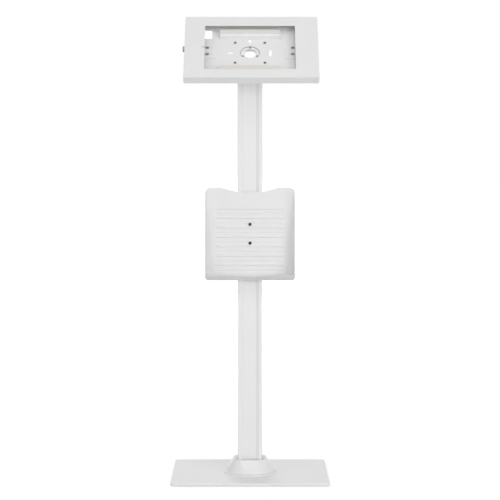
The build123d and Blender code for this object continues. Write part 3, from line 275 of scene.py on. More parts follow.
def shade(colour: Colour, share: float) -> Colour:
    """Lighten or darken a colour by a share, and keep it under 1."""
    return tuple(min(1.0, part * share) for part in colour)


@dataclass(frozen=True)
class Finish(ABC):
    """How one material slot of the stand looks.

    Colour and roughness wander over the surface in blotches: the colour by a share, the roughness by
    a swing to both sides.
    """

    name: str
    colour: Colour
    roughness: float
    blotch: float = 0.05
    variation: float = 0.01
    swing: float = 0.03

    def material(self) -> bpy.types.Material:
        """Make the material, or take it where it is made already.

        Returns:
            The material.
        """
        made = bpy.data.materials.get(self.name)
        if made is not None:
            return made
        tree = SurfaceTree(self.name)
        self.cover(tree)
        tree.feed(tree.shader.inputs["Normal"], self.skin(tree))
        return tree.material

    def cover(self, tree: SurfaceTree) -> None:
        """Lay colour and roughness over the surface.

        Args:
            tree: The material's tree.
        """
        low, high = shade(self.colour, 1.0 - self.variation), shade(self.colour, 1.0 + self.variation)
        tree.feed(tree.shader.inputs["Base Color"], tree.tint(tree.noise(self.blotch), low, high))
        rough_noise = tree.noise(self.blotch * ROUGHNESS_BLOTCH, detail=4.0)
        limits = (self.roughness - self.swing, self.roughness + self.swing)
        tree.feed(tree.shader.inputs["Roughness"], tree.spread(rough_noise, *limits))

    @abstractmethod
    def skin(self, tree: SurfaceTree) -> bpy.types.NodeSocket:
        """Set what only this finish has, and make its bumps.

        Args:
            tree: The material's tree, with its colour and roughness.

        Returns:
            The normal's socket.
        """


@dataclass(frozen=True)
class PowderCoat(Finish):
    """Baked powder paint: orange peel under a fine speckle, over the die lines of an extrusion."""

    blotch: float = 0.09
    variation: float = 0.008
    gloss: float = 0.5
    peel: float = 1.6 * MILLIMETRE
    peel_depth: float = 0.016 * MILLIMETRE
    speckle: float = 0.45 * MILLIMETRE
    speckle_depth: float = 0.005 * MILLIMETRE
    die_line: float = 0.9 * MILLIMETRE
    die_line_depth: float = 0.0

    def skin(self, tree: SurfaceTree) -> bpy.types.NodeSocket:
        """Paint with its peel and speckle.

        Args:
            tree: The material's tree.

        Returns:
            The normal's socket.
        """
        tree.shader.inputs["Specular IOR Level"].default_value = self.gloss
        normal = tree.bump(tree.noise(self.peel), self.peel_depth)
        normal = tree.bump(tree.noise(self.speckle), self.speckle_depth, normal)
        if self.die_line_depth:
            lines = tree.noise(self.die_line, detail=3.0, direction=Direction.ALONG_COLUMN)
            normal = tree.bump(lines, self.die_line_depth, normal)
        return normal


@dataclass(frozen=True)
class MouldedPlastic(Finish):
    """Injection-moulded plastic: slight waves under the grain of an eroded mould."""

    swing: float = 0.035
    wave: float = 0.02
    wave_depth: float = 0.02 * MILLIMETRE
    grain: float = 0.55 * MILLIMETRE
    grain_depth: float = 0.012 * MILLIMETRE

    def skin(self, tree: SurfaceTree) -> bpy.types.NodeSocket:
        """Plastic with its waves and grain."""
        normal = tree.bump(tree.noise(self.wave), self.wave_depth)
        return tree.bump(tree.cells(self.grain), self.grain_depth, normal)


@dataclass(frozen=True)
class BareMetal(Finish):
    """Metal without paint: plated, machined or blackened."""

    blotch: float = 0.006
    variation: float = 0.08
    swing: float = 0.06
    marks: Direction = Direction.NONE
    mark_width: float = 0.4 * MILLIMETRE
    mark_depth: float = 0.004 * MILLIMETRE

    def skin(self, tree: SurfaceTree) -> bpy.types.NodeSocket:
        """Metal with its tool marks.

        Args:
            tree: The material's tree.

        Returns:
            The normal's socket.
        """
        tree.shader.inputs["Metallic"].default_value = 1.0
        marks = tree.noise(self.mark_width, detail=3.0, direction=self.marks)
        return tree.bump(marks, self.mark_depth)


@dataclass(frozen=True)
class SoftRubber(Finish):
    """Matt moulded rubber or nylon."""

    blotch: float = 0.01
    variation: float = 0.12
    swing: float = 0.06
    grain: float = 0.3 * MILLIMETRE
    grain_depth: float = 0.02 * MILLIMETRE

    def skin(self, tree: SurfaceTree) -> bpy.types.NodeSocket:
        """Rubber with its fine matt grain."""
        return tree.bump(tree.noise(self.grain), self.grain_depth)


@dataclass(frozen=True)
class ClosedCellFoam(Finish):
    """Cut foam whose surface shows cells and, between them, pores."""

    blotch: float = 0.012
    variation: float = 0.02
    sheen: float = 0.15
    cell: float = 0.8 * MILLIMETRE
    cell_depth: float = 0.16 * MILLIMETRE
    pore: float = 0.32 * MILLIMETRE
    pore_depth: float = 0.06 * MILLIMETRE

    def skin(self, tree: SurfaceTree) -> bpy.types.NodeSocket:
        """Foam with its two sizes of hollow.

        Args:
            tree: The material's tree.

        Returns:
            The normal's socket.
        """
        tree.shader.inputs["Sheen Weight"].default_value = self.sheen
        normal = tree.bump(tree.cells(self.cell), self.cell_depth)
        return tree.bump(tree.cells(self.pore), self.pore_depth, normal)


@dataclass(frozen=True)
class FeltFacing(Finish):
    """Thin felted facing with crossed fibres."""

    blotch: float = 0.004
    variation: float = 0.035
    swing: float = 0.02
    sheen: float = 0.3
    sheen_roughness: float = 0.5
    fibre: float = 0.35 * MILLIMETRE
    fibre_depth: float = 0.08 * MILLIMETRE

    def skin(self, tree: SurfaceTree) -> bpy.types.NodeSocket:
        """Felt with fibres across it and in all directions.

        Args:
            tree: The material's tree.

        Returns:
            The normal's socket.
        """
        tree.shader.inputs["Sheen Weight"].default_value = self.sheen
        tree.shader.inputs["Sheen Roughness"].default_value = self.sheen_roughness
        across = tree.noise(self.fibre, detail=4.0, direction=Direction.ACROSS)
        normal = tree.bump(across, self.fibre_depth)
        return tree.bump(tree.noise(self.fibre, detail=4.0), self.fibre_depth, normal)


WHITE_PAINT: Colour = (0.80, 0.80, 0.80)

FINISHES: dict[str, Finish] = {
    "painted_base": PowderCoat(
        "base_powder_coat", (0.85, 0.85, 0.85), 0.32, swing=0.02, gloss=0.25, peel=4.0 * MILLIMETRE,
        peel_depth=0.004 * MILLIMETRE, speckle_depth=0.0012 * MILLIMETRE,
    ),
    "painted_column": PowderCoat(
        "column_powder_coat", WHITE_PAINT, 0.40, die_line_depth=0.003 * MILLIMETRE
    ),
    "painted_trim": MouldedPlastic("foot_cover_plastic", WHITE_PAINT, 0.38, grain_depth=0.004 * MILLIMETRE),
    "painted_steel": PowderCoat("enclosure_powder_coat", WHITE_PAINT, 0.42),
    "white_plastic": MouldedPlastic("holder_plastic", (0.77, 0.77, 0.77), 0.38),
    "rubber": SoftRubber("black_rubber", (0.035, 0.035, 0.037), 0.78),
    "zinc_steel": BareMetal("zinc_plated_steel", (0.62, 0.63, 0.65), 0.34),
    "bare_aluminium": BareMetal("machined_aluminium", (0.72, 0.73, 0.74), 0.36, marks=Direction.ACROSS),
    "black_screw": BareMetal("black_oxide_steel", (0.045, 0.045, 0.05), 0.42, variation=0.2),
    "nickel": BareMetal("dark_nickel", (0.24, 0.235, 0.23), 0.3),
    "washer_plastic": SoftRubber("dark_nylon", (0.09, 0.09, 0.095), 0.55),
    "foam": ClosedCellFoam("white_foam", (0.86, 0.87, 0.87), 0.95),
    "liner": FeltFacing("beige_facing", (0.76, 0.725, 0.68), 0.95),
}


class ShapeTree(NodeTree):
    """A geometry node tree with named sizes, run on a set of places, that ends in a plain mesh."""

    def __init__(self, name: str) -> None:
        """Make an empty tree.

        Args:
            name: Name of the tree.
        """
        super().__init__(bpy.data.node_groups.new(name, "GeometryNodeTree"))
        self.tree.interface.new_socket("Geometry", in_out="OUTPUT", socket_type="NodeSocketGeometry")
        self.tree.interface.new_socket("Places", in_out="INPUT", socket_type="NodeSocketGeometry")
        self._inputs = self.tree.nodes.new("NodeGroupInput")
        self._values: dict[str, float] = {}
        self.places = self._inputs.outputs["Places"]

    def size(self, name: str, value: float) -> bpy.types.NodeSocket:
        """Declare a named input and its value.

        Args:
            name: What the input is called.
            value: Its value.

        Returns:
            The input's socket inside the tree.
        """
        socket = self.tree.interface.new_socket(name, in_out="INPUT", socket_type="NodeSocketFloat")
        self._values[socket.identifier] = value
        return self._inputs.outputs[name]

    def combine(self, x: Value, y: Value, z: Value) -> bpy.types.NodeSocket:
        """A vector from three numbers."""
        return self.add("ShaderNodeCombineXYZ", {0: x, 1: y, 2: z}).outputs[0]

    def here(self) -> tuple[bpy.types.NodeSocket, bpy.types.NodeSocket, bpy.types.NodeSocket]:
        """A point's x, y and z."""
        place = self.add("GeometryNodeInputPosition").outputs[0]
        return tuple(self.add("ShaderNodeSeparateXYZ", {0: place}).outputs)

    def reach(self, x: Value, y: Value) -> bpy.types.NodeSocket:
        """A point's distance from the z axis."""
        return self.vector("LENGTH", self.combine(x, y, 0.0))

    def press(self, wave: str, angle: Value, depth: Value) -> bpy.types.NodeSocket:
        """A wave, SINE or COSINE, from 0 on its crests to minus the depth in its valleys."""
        return self.times(self.math("SUBTRACT", self.math(wave, angle), 1.0), 0.5, depth)

    def drum(
        self, radius: Value, height: Value, top: Value, sides: int, rings: int = 1
    ) -> bpy.types.NodeSocket:
        """A closed upright drum.

        Args:
            radius: Its radius.
            height: Its height.
            top: Height of its upper face.
            sides: How many sides it has.
            rings: Bands of faces on its ends and up its side.

        Returns:
            The drum's socket.
        """
        inputs = {"Vertices": sides, "Side Segments": rings, "Fill Segments": rings}
        inputs |= {"Radius": radius, "Depth": height}
        drum = self.add("GeometryNodeMeshCylinder", inputs).outputs["Mesh"]
        return self.lifted(drum, self.math("SUBTRACT", top, self.times(height, 0.5)))

    def lifted(self, geometry: bpy.types.NodeSocket, rise: Value) -> bpy.types.NodeSocket:
        """Move a whole geometry up."""
        shift = self.combine(0.0, 0.0, rise)
        return self.add("GeometryNodeTransform", {"Geometry": geometry, "Translation": shift}).outputs[0]

    def shifted(self, geometry: bpy.types.NodeSocket, shift: Value) -> bpy.types.NodeSocket:
        """Move each point of a geometry by its own amount."""
        return self.add("GeometryNodeSetPosition", {"Geometry": geometry, "Offset": shift}).outputs[0]

    def combined(self, operation: str, parts: Sequence[bpy.types.NodeSocket]) -> bpy.types.NodeSocket:
        """Join closed shapes or cut one from another.

        Args:
            operation: UNION or DIFFERENCE.
            parts: The shapes, the one that is cut first.

        Returns:
            The closed result's socket.
        """
        node = self.add("GeometryNodeMeshBoolean", operation=operation)
        rest = parts
        if operation == "DIFFERENCE":
            self.feed(node.inputs[0], parts[0])
            rest = parts[1:]
        for part in rest:
            self.feed(node.inputs[1], part)
        return node.outputs["Mesh"]

    def repeated(self, part: bpy.types.NodeSocket) -> bpy.types.NodeSocket:
        """Set a copy of a part on each of the places."""
        return self.add("GeometryNodeInstanceOnPoints", {"Points": self.places, "Instance": part}).outputs[0]

    def build(
        self, name: str, geometry: bpy.types.NodeSocket, finish: Finish, places: Sequence[Vector],
        turn: Matrix,
    ) -> bpy.types.Object:
        """End the tree, run it and keep its result as a plain mesh.

        Args:
            name: Name of the piece.
            geometry: The last geometry in the tree.
            finish: The piece's finish.
            places: Where the copies go, before the turn.
            turn: Turn and shift of the whole piece.

        Returns:
            The piece, at the origin and without modifiers.
        """
        real = self.add("GeometryNodeRealizeInstances", {0: geometry}).outputs[0]
        angle = self.add("GeometryNodeInputMeshEdgeAngle").outputs["Unsigned Angle"]
        sharp = self.math("GREATER_THAN", angle, SHARP_EDGE)
        smooth = self.add("GeometryNodeSetShadeSmooth", {0: real}).outputs[0]
        inputs = {0: smooth, "Selection": sharp, "Shade Smooth": False}
        edged = self.add("GeometryNodeSetShadeSmooth", inputs, domain="EDGE")
        painted = self.add("GeometryNodeSetMaterial", {0: edged.outputs[0]})
        painted.inputs["Material"].default_value = finish.material()
        output = self.tree.nodes.new("NodeGroupOutput")
        self.feed(output.inputs[0], painted.outputs[0])
        points = bpy.data.meshes.new(f"{name}_places")
        points.from_pydata([tuple(place) for place in places], [], [])
        carrier = add_object(points.name, points)
        modifier = carrier.modifiers.new("shape", "NODES")
        modifier.node_group = self.tree
        for identifier, value in self._values.items():
            modifier[identifier] = value
        evaluated = carrier.evaluated_get(bpy.context.evaluated_depsgraph_get())
        mesh = bpy.data.meshes.new_from_object(evaluated)
        mesh.name = name
        mesh.transform(turn)
        bpy.data.objects.remove(carrier)
        return add_object(name, mesh)


def turned(out: Vector) -> Matrix:
    """A turn that brings the z axis to a direction."""
    return out.to_track_quat("Z", "Y").to_matrix().to_4x4()


def tops_of_solids(node: bpy.types.Object, turn: Matrix) -> list[Vector]:
    """Where each separate solid of a node ends, seen along the z axis of a turned frame.

    Args:
        node: The node's object.
        turn: The frame's turn and shift.

    Returns:
        The middle of each solid at its highest z, in the turned frame.
    """
    shape = bmesh.new()
    shape.from_mesh(node.data)
    bmesh.ops.remove_doubles(shape, verts=shape.verts, dist=WELD_DISTANCE)
    shape.transform(turn.inverted())
    waiting = set(shape.verts)
    tops = []
    while waiting:
        front = [waiting.pop()]
        solid = list(front)
        while front:
            near = {edge.other_vert(vertex) for vertex in front for edge in vertex.link_edges} & waiting
            waiting -= near
            front = list(near)
            solid.extend(near)
        spans = [(min(v.co[axis] for v in solid), max(v.co[axis] for v in solid)) for axis in range(3)]
        tops.append(Vector([sum(span) / 2 for span in spans[:2]] + [spans[2][1]]))
    shape.free()
    return sorted(tops, key=tuple)


@dataclass(frozen=True)
class SocketScrews:
    """Screws with a hexagon socket that stand for the plain ones of a node."""

    node: str
    body: str
    slot: str
    head: float
    height: float
    shank: float
    length: float
    sides: int = 36
    bands: int = 6
    shank_sides: int = 24
    # Where the shank begins below the top of the head, as a share of the head's height.
    shank_start: float = 0.7
    # Fall of the dome at its rim, as a share of the head's height, and how late it sets in.
    dome: float = 0.3
    dome_power: float = 4.0
    # Radius of the socket, as a share of the shank's, and its depth, as a share of the head's height.
    socket_radius: float = 0.8
    socket_depth: float = 0.6
    # Low and high radius, height and depth of the bevel at the mouth, as shares of the socket's radius.
    mouth_radii: tuple[float, float] = (0.75, 1.25)
    mouth_height: float = 0.5
    mouth_depth: float = 0.38
    # How many grooves the head has round it, how deep, and where its side begins, as shares of its radius.
    grooves: int = 0
    groove_depth: float = 0.06
    groove_start: float = 0.99

    def build(self, frame: dict, turn: Matrix) -> bpy.types.Object:
        """Set one screw on each place of the node's solids.

        Args:
            frame: The loaded frame.
            turn: Turn and shift whose z axis runs out of the heads.

        Returns:
            The piece with all screws of the node.
        """
        tree = ShapeTree(f"{self.node}_shape")
        height = tree.size("Head height", self.height)
        shank = tree.size("Shank radius", self.shank)
        length = tree.size("Shank length", self.length)
        rod = tree.drum(shank, length, tree.times(height, -self.shank_start), self.shank_sides)
        whole = tree.combined("UNION", (self.domed_head(tree, height), rod))
        screw = tree.combined("DIFFERENCE", (whole, *self.cutters(tree, height, shank)))
        places = tops_of_solids(frame["nodes"][self.node], turn)
        piece = tree.build(f"{self.node}_dressed", tree.repeated(screw), FINISHES[self.slot], places, turn)
        return stands_for(piece, self.node, self.body)

    def domed_head(self, tree: ShapeTree, height: Value) -> bpy.types.NodeSocket:
        """A head whose top falls towards its rim, with grooves in its side where it has them.

        Args:
            tree: The tree.
            height: The head's height.

        Returns:
            The head's socket.
        """
        radius = tree.size("Head radius", self.head)
        drop = tree.times(tree.size("Dome", self.dome), height)
        blank = tree.drum(radius, height, 0.0, self.sides, rings=self.bands)
        x, y, level = tree.here()
        share = tree.math("DIVIDE", tree.reach(x, y), radius)
        lift = tree.math("ADD", tree.math("DIVIDE", level, height), 1.0)
        fall = tree.times(tree.math("POWER", share, self.dome_power), lift, drop, -1.0)
        domed = tree.shifted(blank, tree.combine(0.0, 0.0, fall))
        if not self.grooves:
            return domed
        angle = tree.times(tree.math("ARCTAN2", y, x), tree.size("Grooves", float(self.grooves)))
        side = tree.math("GREATER_THAN", share, self.groove_start)
        press = tree.press("COSINE", angle, tree.times(side, self.groove_depth))
        return tree.shifted(domed, tree.vector("SCALE", tree.combine(x, y, 0.0), press))

    def cutters(
        self, tree: ShapeTree, height: Value, shank: Value
    ) -> tuple[bpy.types.NodeSocket, bpy.types.NodeSocket]:
        """The hexagon and the bevel at its mouth, which are cut out of the head.

        Args:
            tree: The tree.
            height: The head's height.
            shank: The shank's radius.

        Returns:
            The sockets of the two closed shapes.
        """
        radius = tree.times(shank, self.socket_radius)
        depth = tree.times(height, self.socket_depth)
        hexagon = tree.drum(radius, tree.times(depth, 2.0), depth, 6)
        low, high = self.mouth_radii
        inputs = {"Radius Top": tree.times(radius, high), "Radius Bottom": tree.times(radius, low)}
        inputs |= {"Vertices": self.shank_sides, "Depth": tree.times(radius, self.mouth_height)}
        cone = tree.add("GeometryNodeMeshCone", inputs).outputs["Mesh"]
        return hexagon, tree.lifted(cone, tree.times(radius, -self.mouth_depth))


def stands_for(piece: bpy.types.Object, node: str, body: str) -> bpy.types.Object:
    """Let a piece stand for a node.

    Args:
        piece: The piece, at its place.
        node: The node that it replaces.
        body: The body that it moves with.

    Returns:
        The same piece.
    """
    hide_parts(node)
    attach(piece, body)
    return piece


@dataclass(frozen=True)
class LeaningFrame:
    """The enclosure's own axes: across it, up along its face and out of the face."""

    origin: Vector
    across: Vector
    up: Vector
    out: Vector

    @classmethod
    def from_record(cls, record: dict) -> LeaningFrame:
        """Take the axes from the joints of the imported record.

        Args:
            record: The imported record.

        Returns:
            The frame, with its origin on the rotation axis.
        """
        joints = {joint["name"]: joint for joint in record["behaviour"]["joints"]}
        out = Vector(joints["enclosure_rotation"]["axis"]).normalized()
        up = Vector(joints["cover_hinge"]["axis"]).normalized()
        return cls(Vector(joints["enclosure_rotation"]["pos_m"]), up.cross(out), up, out)

    def matrix(self) -> Matrix:
        """The turn and shift from these axes to the stand's."""
        columns = Matrix((self.across, self.up, self.out)).transposed()
        return Matrix.Translation(self.origin) @ columns.to_4x4()

    def extent(self, node: bpy.types.Object) -> tuple[Vector, Vector]:
        """Low and high corners of a node on these axes.

        Args:
            node: The node's object.

        Returns:
            The two corners.
        """
        back = self.matrix().inverted()
        points = [back @ vertex.co for vertex in node.data.vertices]
        low = Vector([min(point[axis] for point in points) for axis in range(3)])
        high = Vector([max(point[axis] for point in points) for axis in range(3)])
        return low, high


@dataclass
class Assembly:
    """A group of the stand's pieces: the solids that keep their shape and what is modelled here."""

    frame: dict
    solids: tuple[str, ...] = ()

    def dress_solids(self) -> None:
        """Give each solid of the group the finish of its material slot."""
        for name in self.solids:
            node = self.frame["nodes"][name]
            for holder in node.material_slots:
                slot_name = holder.material.name.split(".")[0]
                holder.material = FINISHES[slot_name].material()
            LOG.info("dressed %s", name)

    def make(self) -> list[bpy.types.Object]:
        """Dress the solids and build the group's own pieces.

        Returns:
            The pieces that were built.
        """
        self.dress_solids()
        pieces = self.build()
        for piece in pieces:
            LOG.info("built %s", piece.name)
        return pieces

    def build(self) -> list[bpy.types.Object]:
        """Build the pieces that this group adds or replaces, here none."""
        return []

    def axes(self) -> LeaningFrame:
        """The enclosure's own axes."""
        return LeaningFrame.from_record(self.frame["record"])


@dataclass
class FloorBase(Assembly):
    """The floor plate with its feet, its bolts and the block that carries the column."""

    solids: tuple[str, ...] = ("base_plate", "base_bolts", "foot_block", "foot_cover")
    foot_radius: float = 13.0 * MILLIMETRE
    foot_height: float = 2.0 * MILLIMETRE
    foot_sides: int = 48
    foot_bands: int = 22
    ring_pitch: float = 2.4 * MILLIMETRE
    ring_depth: float = 0.5 * MILLIMETRE
    # How far out the rings go, as a share of the radius, and how thin a layer is the sole, of the height.
    ring_reach: float = 0.9
    sole_share: float = 0.02

    def build(self) -> list[bpy.types.Object]:
        """Model the feet with rings pressed into their soles.

        Returns:
            The piece with all feet.
        """
        tree = ShapeTree("ringed_foot_shape")
        radius = tree.size("Radius", self.foot_radius)
        height = tree.size("Height", self.foot_height)
        pitch = tree.size("Ring pitch", self.ring_pitch)
        depth = tree.size("Ring depth", self.ring_depth)
        blank = tree.drum(radius, height, 0.0, self.foot_sides, rings=self.foot_bands)
        x, y, level = tree.here()
        reach = tree.reach(x, y)
        sole = tree.math("GREATER_THAN", level, tree.times(height, -self.sole_share))
        inside = tree.math("LESS_THAN", reach, tree.times(radius, self.ring_reach))
        angle = tree.math("DIVIDE", tree.times(reach, math.tau), pitch)
        press = tree.press("SINE", angle, tree.times(sole, inside, depth))
        foot = tree.shifted(blank, tree.combine(0.0, 0.0, press))
        down = turned(Vector((0, 0, -1)))
        places = tops_of_solids(self.frame["nodes"]["rubber_feet"], down)
        piece = tree.build("ringed_feet", tree.repeated(foot), FINISHES["rubber"], places, down)
        return [stands_for(piece, "rubber_feet", "stand")]


@dataclass
class Column(Assembly):
    """The fluted square column with its screws, its rear strip and its top block."""

    solids: tuple[str, ...] = (
        "column_profile", "column_side_screws", "rear_cable_cover", "cable_grommet", "top_block",
    )


@dataclass
class BrochureHolder(Assembly):
    """The ribbed pocket with its fixings on the front of the column."""

    solids: tuple[str, ...] = ("brochure_holder", "holder_spacer", "holder_nut_plate")
    screws: SocketScrews = SocketScrews(
        "holder_screws", "stand", "black_screw", head=4.0 * MILLIMETRE, height=2.6 * MILLIMETRE,
        shank=2.5 * MILLIMETRE, length=15.0 * MILLIMETRE,
    )

    def build(self) -> list[bpy.types.Object]:
        """Model the two screws."""
        return [self.screws.build(self.frame, turned(Vector((0, -1, 0))))]


@dataclass
class TiltHead(Assembly):
    """The bracket on the column and the yoke that tilts on it."""

    solids: tuple[str, ...] = ("head_bracket", "tilt_bolts", "tilt_friction_washers", "tilt_yoke")
    screws: SocketScrews = SocketScrews(
        "bracket_screws", "stand", "zinc_steel", head=4.25 * MILLIMETRE, height=5.0 * MILLIMETRE,
        shank=2.5 * MILLIMETRE, length=22.0 * MILLIMETRE, sides=72, dome=0.08, grooves=18,
    )

    def build(self) -> list[bpy.types.Object]:
        """Model the bracket's grooved screws."""
        return [self.screws.build(self.frame, turned(Vector((0, 0, 1))))]


@dataclass
class RotationJoint(Assembly):
    """The hub on which the enclosure turns, with its plate, washers and screws."""

    solids: tuple[str, ...] = (
        "vesa_plate", "rotation_hub", "ring_screws", "front_friction_washer", "rear_friction_washer",
        "hub_lock_ring", "rotation_stop_pin",
    )
    screws: SocketScrews = SocketScrews(
        "vesa_screws", "enclosure", "nickel", head=3.6 * MILLIMETRE, height=1.9 * MILLIMETRE,
        shank=2.0 * MILLIMETRE, length=4.0 * MILLIMETRE,
    )
    # A thin dark cord round the hub's plate draws the shade line at the edge of the tray's hole: painted
    # shade.
    shade_ring_radius: float = 23.9 * MILLIMETRE
    shade_ring_section: float = 0.36 * MILLIMETRE
    shade_ring_sides: int = 96
    shade_ring_section_sides: int = 12

    def build(self) -> list[bpy.types.Object]:
        """Model the mounting screws and the dark ring of painted shade round the hub's plate."""
        return [self.screws.build(self.frame, self.axes().matrix()), self.seal()]

    def seal(self) -> bpy.types.Object:
        """Dark round cord in the corner between the tray's hole and the plate behind it, which stands for
        the shade in that corner: painted shade.

        Returns:
            The seal.
        """
        tree = ShapeTree("seal_shape")
        inputs = {"Resolution": self.shade_ring_sides, "Radius": tree.size("Ring radius", self.shade_ring_radius)}
        path = tree.add("GeometryNodeCurvePrimitiveCircle", inputs).outputs[0]
        section = tree.size("Section radius", self.shade_ring_section)
        inputs = {"Resolution": self.shade_ring_section_sides, "Radius": section}
        profile = tree.add("GeometryNodeCurvePrimitiveCircle", inputs).outputs[0]
        ring = tree.add("GeometryNodeCurveToMesh", {"Curve": path, "Profile Curve": profile}).outputs[0]
        place = Vector((0.0, 0.0, self.shade_ring_section))
        # The dark nylon gives the ring of painted shade its darkness.
        finish = FINISHES["washer_plastic"]
        piece = tree.build("hub_seal", tree.repeated(ring), finish, [place], self.axes().matrix())
        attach(piece, "enclosure")
        return piece


@dataclass
class Clamps(Assembly):
    """The two sliding clamps that hold a tablet by its sides."""

    solids: tuple[str, ...] = ("left_clamp", "right_clamp")
    screws: SocketScrews = SocketScrews(
        "clamp_screws", "enclosure", "nickel", head=4.0 * MILLIMETRE, height=1.8 * MILLIMETRE,
        shank=2.0 * MILLIMETRE, length=3.2 * MILLIMETRE,
    )
    rib_pitch: float = 2.6 * MILLIMETRE
    rib_depth: float = 0.4 * MILLIMETRE
    rib_points: int = 161

    def build(self) -> list[bpy.types.Object]:
        """Model the guide screws and the ribbed rubber pads of both clamps.

        Returns:
            Screws and pad of the left clamp, then of the right one.
        """
        pieces = []
        for side in Side:
            screws = replace(self.screws, node=f"{side.name.lower()}_clamp_screws")
            pieces.append(screws.build(self.frame, self.axes().matrix()))
            pieces.append(self.pad(side))
        return pieces

    def pad(self, side: Side) -> bpy.types.Object:
        """A pad whose face towards the tablet has ribs across it.

        Args:
            side: Which clamp it is on.

        Returns:
            The pad.
        """
        name, axes = side.name.lower(), self.axes()
        node = f"{name}_clamp_pad"
        low, high = axes.extent(self.frame["nodes"][node])
        tree = ShapeTree(f"{node}_shape")
        thick = tree.size("Thickness", high.x - low.x)
        long = tree.size("Length", high.y - low.y)
        deep = tree.size("Depth", high.z - low.z)
        pitch = tree.size("Rib pitch", self.rib_pitch)
        depth = tree.size("Rib depth", self.rib_depth)
        inputs = {"Size": tree.combine(thick, long, deep)}
        inputs |= {"Vertices X": 2, "Vertices Y": self.rib_points, "Vertices Z": 2}
        blank = tree.add("GeometryNodeMeshCube", inputs).outputs[0]
        x, y, _ = tree.here()
        face = tree.math("GREATER_THAN", tree.times(x, side.value), 0.0)
        angle = tree.math("DIVIDE", tree.times(y, math.tau), pitch)
        press = tree.times(tree.press("COSINE", angle, tree.times(face, depth)), side.value)
        ribbed = tree.repeated(tree.shifted(blank, tree.combine(press, 0.0, 0.0)))
        middle = (low + high) / 2
        piece = tree.build(f"{name}_ribbed_pad", ribbed, FINISHES["rubber"], [middle], axes.matrix())
        return stands_for(piece, node, f"{name}_support")


@dataclass
class FoamRests(Assembly):
    """The two foam strips behind a tablet, each with a soft facing."""

    rim: float = 0.8 * MILLIMETRE
    cell: float = 4.0 * MILLIMETRE
    levels: int = 2
    crown: float = 0.45 * MILLIMETRE
    facing_crown: float = 0.225 * MILLIMETRE
    facing_width: float = 16.0 * MILLIMETRE
    pull: float = 0.35 * MILLIMETRE
    strips: tuple[str, ...] = ("upper_foam_strip", "lower_foam_strip")

    def build(self) -> list[bpy.types.Object]:
        """Model both strips and their facings.

        Returns:
            The two strips and the piece with both facings.
        """
        axes = self.axes()
        front = axes.extent(self.frame["nodes"]["foam_liners"])[1].z
        pieces = []
        facings = bmesh.new()
        for name in self.strips:
            low, high = axes.extent(self.frame["nodes"][name])
            strip = bmesh.new()
            self.add_block(strip, low, high, self.crown)
            pieces.append(self.fit(strip, name.replace("_strip", "_rest"), name, "foam"))
            start = Vector((low.x, high.y - self.facing_width, high.z))
            self.add_block(facings, start, Vector((high.x, high.y, front)), self.facing_crown)
        pieces.append(self.fit(facings, "rest_facings", "foam_liners", "liner"))
        return pieces

    def fit(self, shape: bmesh.types.BMesh, name: str, node: str, slot: str) -> bpy.types.Object:
        """Make a padded piece of a shape and let it stand for its node on the enclosure.

        Args:
            shape: The shape, on the enclosure's axes.
            name: Name of the piece.
            node: The node that it replaces.
            slot: The material slot that it takes its finish from.

        Returns:
            The piece.
        """
        piece = piece_from(shape, name, self.axes().matrix(), FINISHES[slot], self.levels)
        return stands_for(piece, node, "enclosure")

    def add_block(self, shape: bmesh.types.BMesh, low: Vector, high: Vector, crown: float) -> None:
        """Add a closed block whose front is crowned and whose long sides pull in.

        Args:
            shape: What it is added to.
            low: Its low corner on the leaning axes.
            high: Its high corner.
            crown: Height of its crown.
        """
        middle = (low + high) / 2
        half = (high - low) / 2
        for vertex in grid_box(shape, low, high, self.rim, self.cell):
            place = (vertex.co - middle) * Vector((1 / half.x, 1 / half.y, 1 / half.z))
            # Crown and pull are even along the strip and fade out near its two ends.
            along = 1 - place.x ** 4
            vertex.co.z += crown * along * (1 - place.y ** 2) * (place.z > 0.5)
            vertex.co.y -= self.pull * along * place.y * (1 - place.z ** 2)


@dataclass
class Enclosure(Assembly):
    """The tray that holds the tablet, its hinge pins and the strike of its lock."""

    solids: tuple[str, ...] = ("enclosure_tray", "hinge_pins", "lock_strike")


@dataclass
class FrontCover(Assembly):
    """The hinged front with its lock."""

    solids: tuple[str, ...] = (
        "enclosure_cover", "lock_housing", "lock_nut", "lock_plug", "lock_cam", "cam_screw",
    )


def grid_box(
    shape: bmesh.types.BMesh, low: Vector, high: Vector, rim: float, spacing: float
) -> list[bmesh.types.BMVert]:
    """Add a closed box whose faces are grids with a narrow band along each edge.

    Args:
        shape: What it is added to.
        low: Its low corner.
        high: Its high corner.
        rim: Width of the band along each edge.
        spacing: Size of the other cells.

    Returns:
        The vertices that were added.
    """
    marks = []
    for axis in range(3):
        start, end = low[axis], high[axis]
        band = min(rim, (end - start) / 3)
        count = max(1, round((end - start - 2 * band) / spacing))
        inner = [start + band + (end - start - 2 * band) * step / count for step in range(count + 1)]
        marks.append([start, *inner, end])
    found: dict[tuple[int, int, int], bmesh.types.BMVert] = {}

    def corner(index: tuple[int, int, int]) -> bmesh.types.BMVert:
        """The vertex of a place in the grid, made once.

        Args:
            index: Its number along each axis.

        Returns:
            The vertex.
        """
        if index not in found:
            found[index] = shape.verts.new([marks[axis][index[axis]] for axis in range(3)])
        return found[index]

    for axis in range(3):
        first, second = (axis + 1) % 3, (axis + 2) % 3
        for side in (0, len(marks[axis]) - 1):
            for i in range(len(marks[first]) - 1):
                for j in range(len(marks[second]) - 1):
                    ring = []
                    for step_i, step_j in ((0, 0), (1, 0), (1, 1), (0, 1)):
                        index = [0, 0, 0]
                        index[axis], index[first], index[second] = side, i + step_i, j + step_j
                        ring.append(corner(tuple(index)))
                    shape.faces.new(ring if side else reversed(ring))
    return list(found.values())


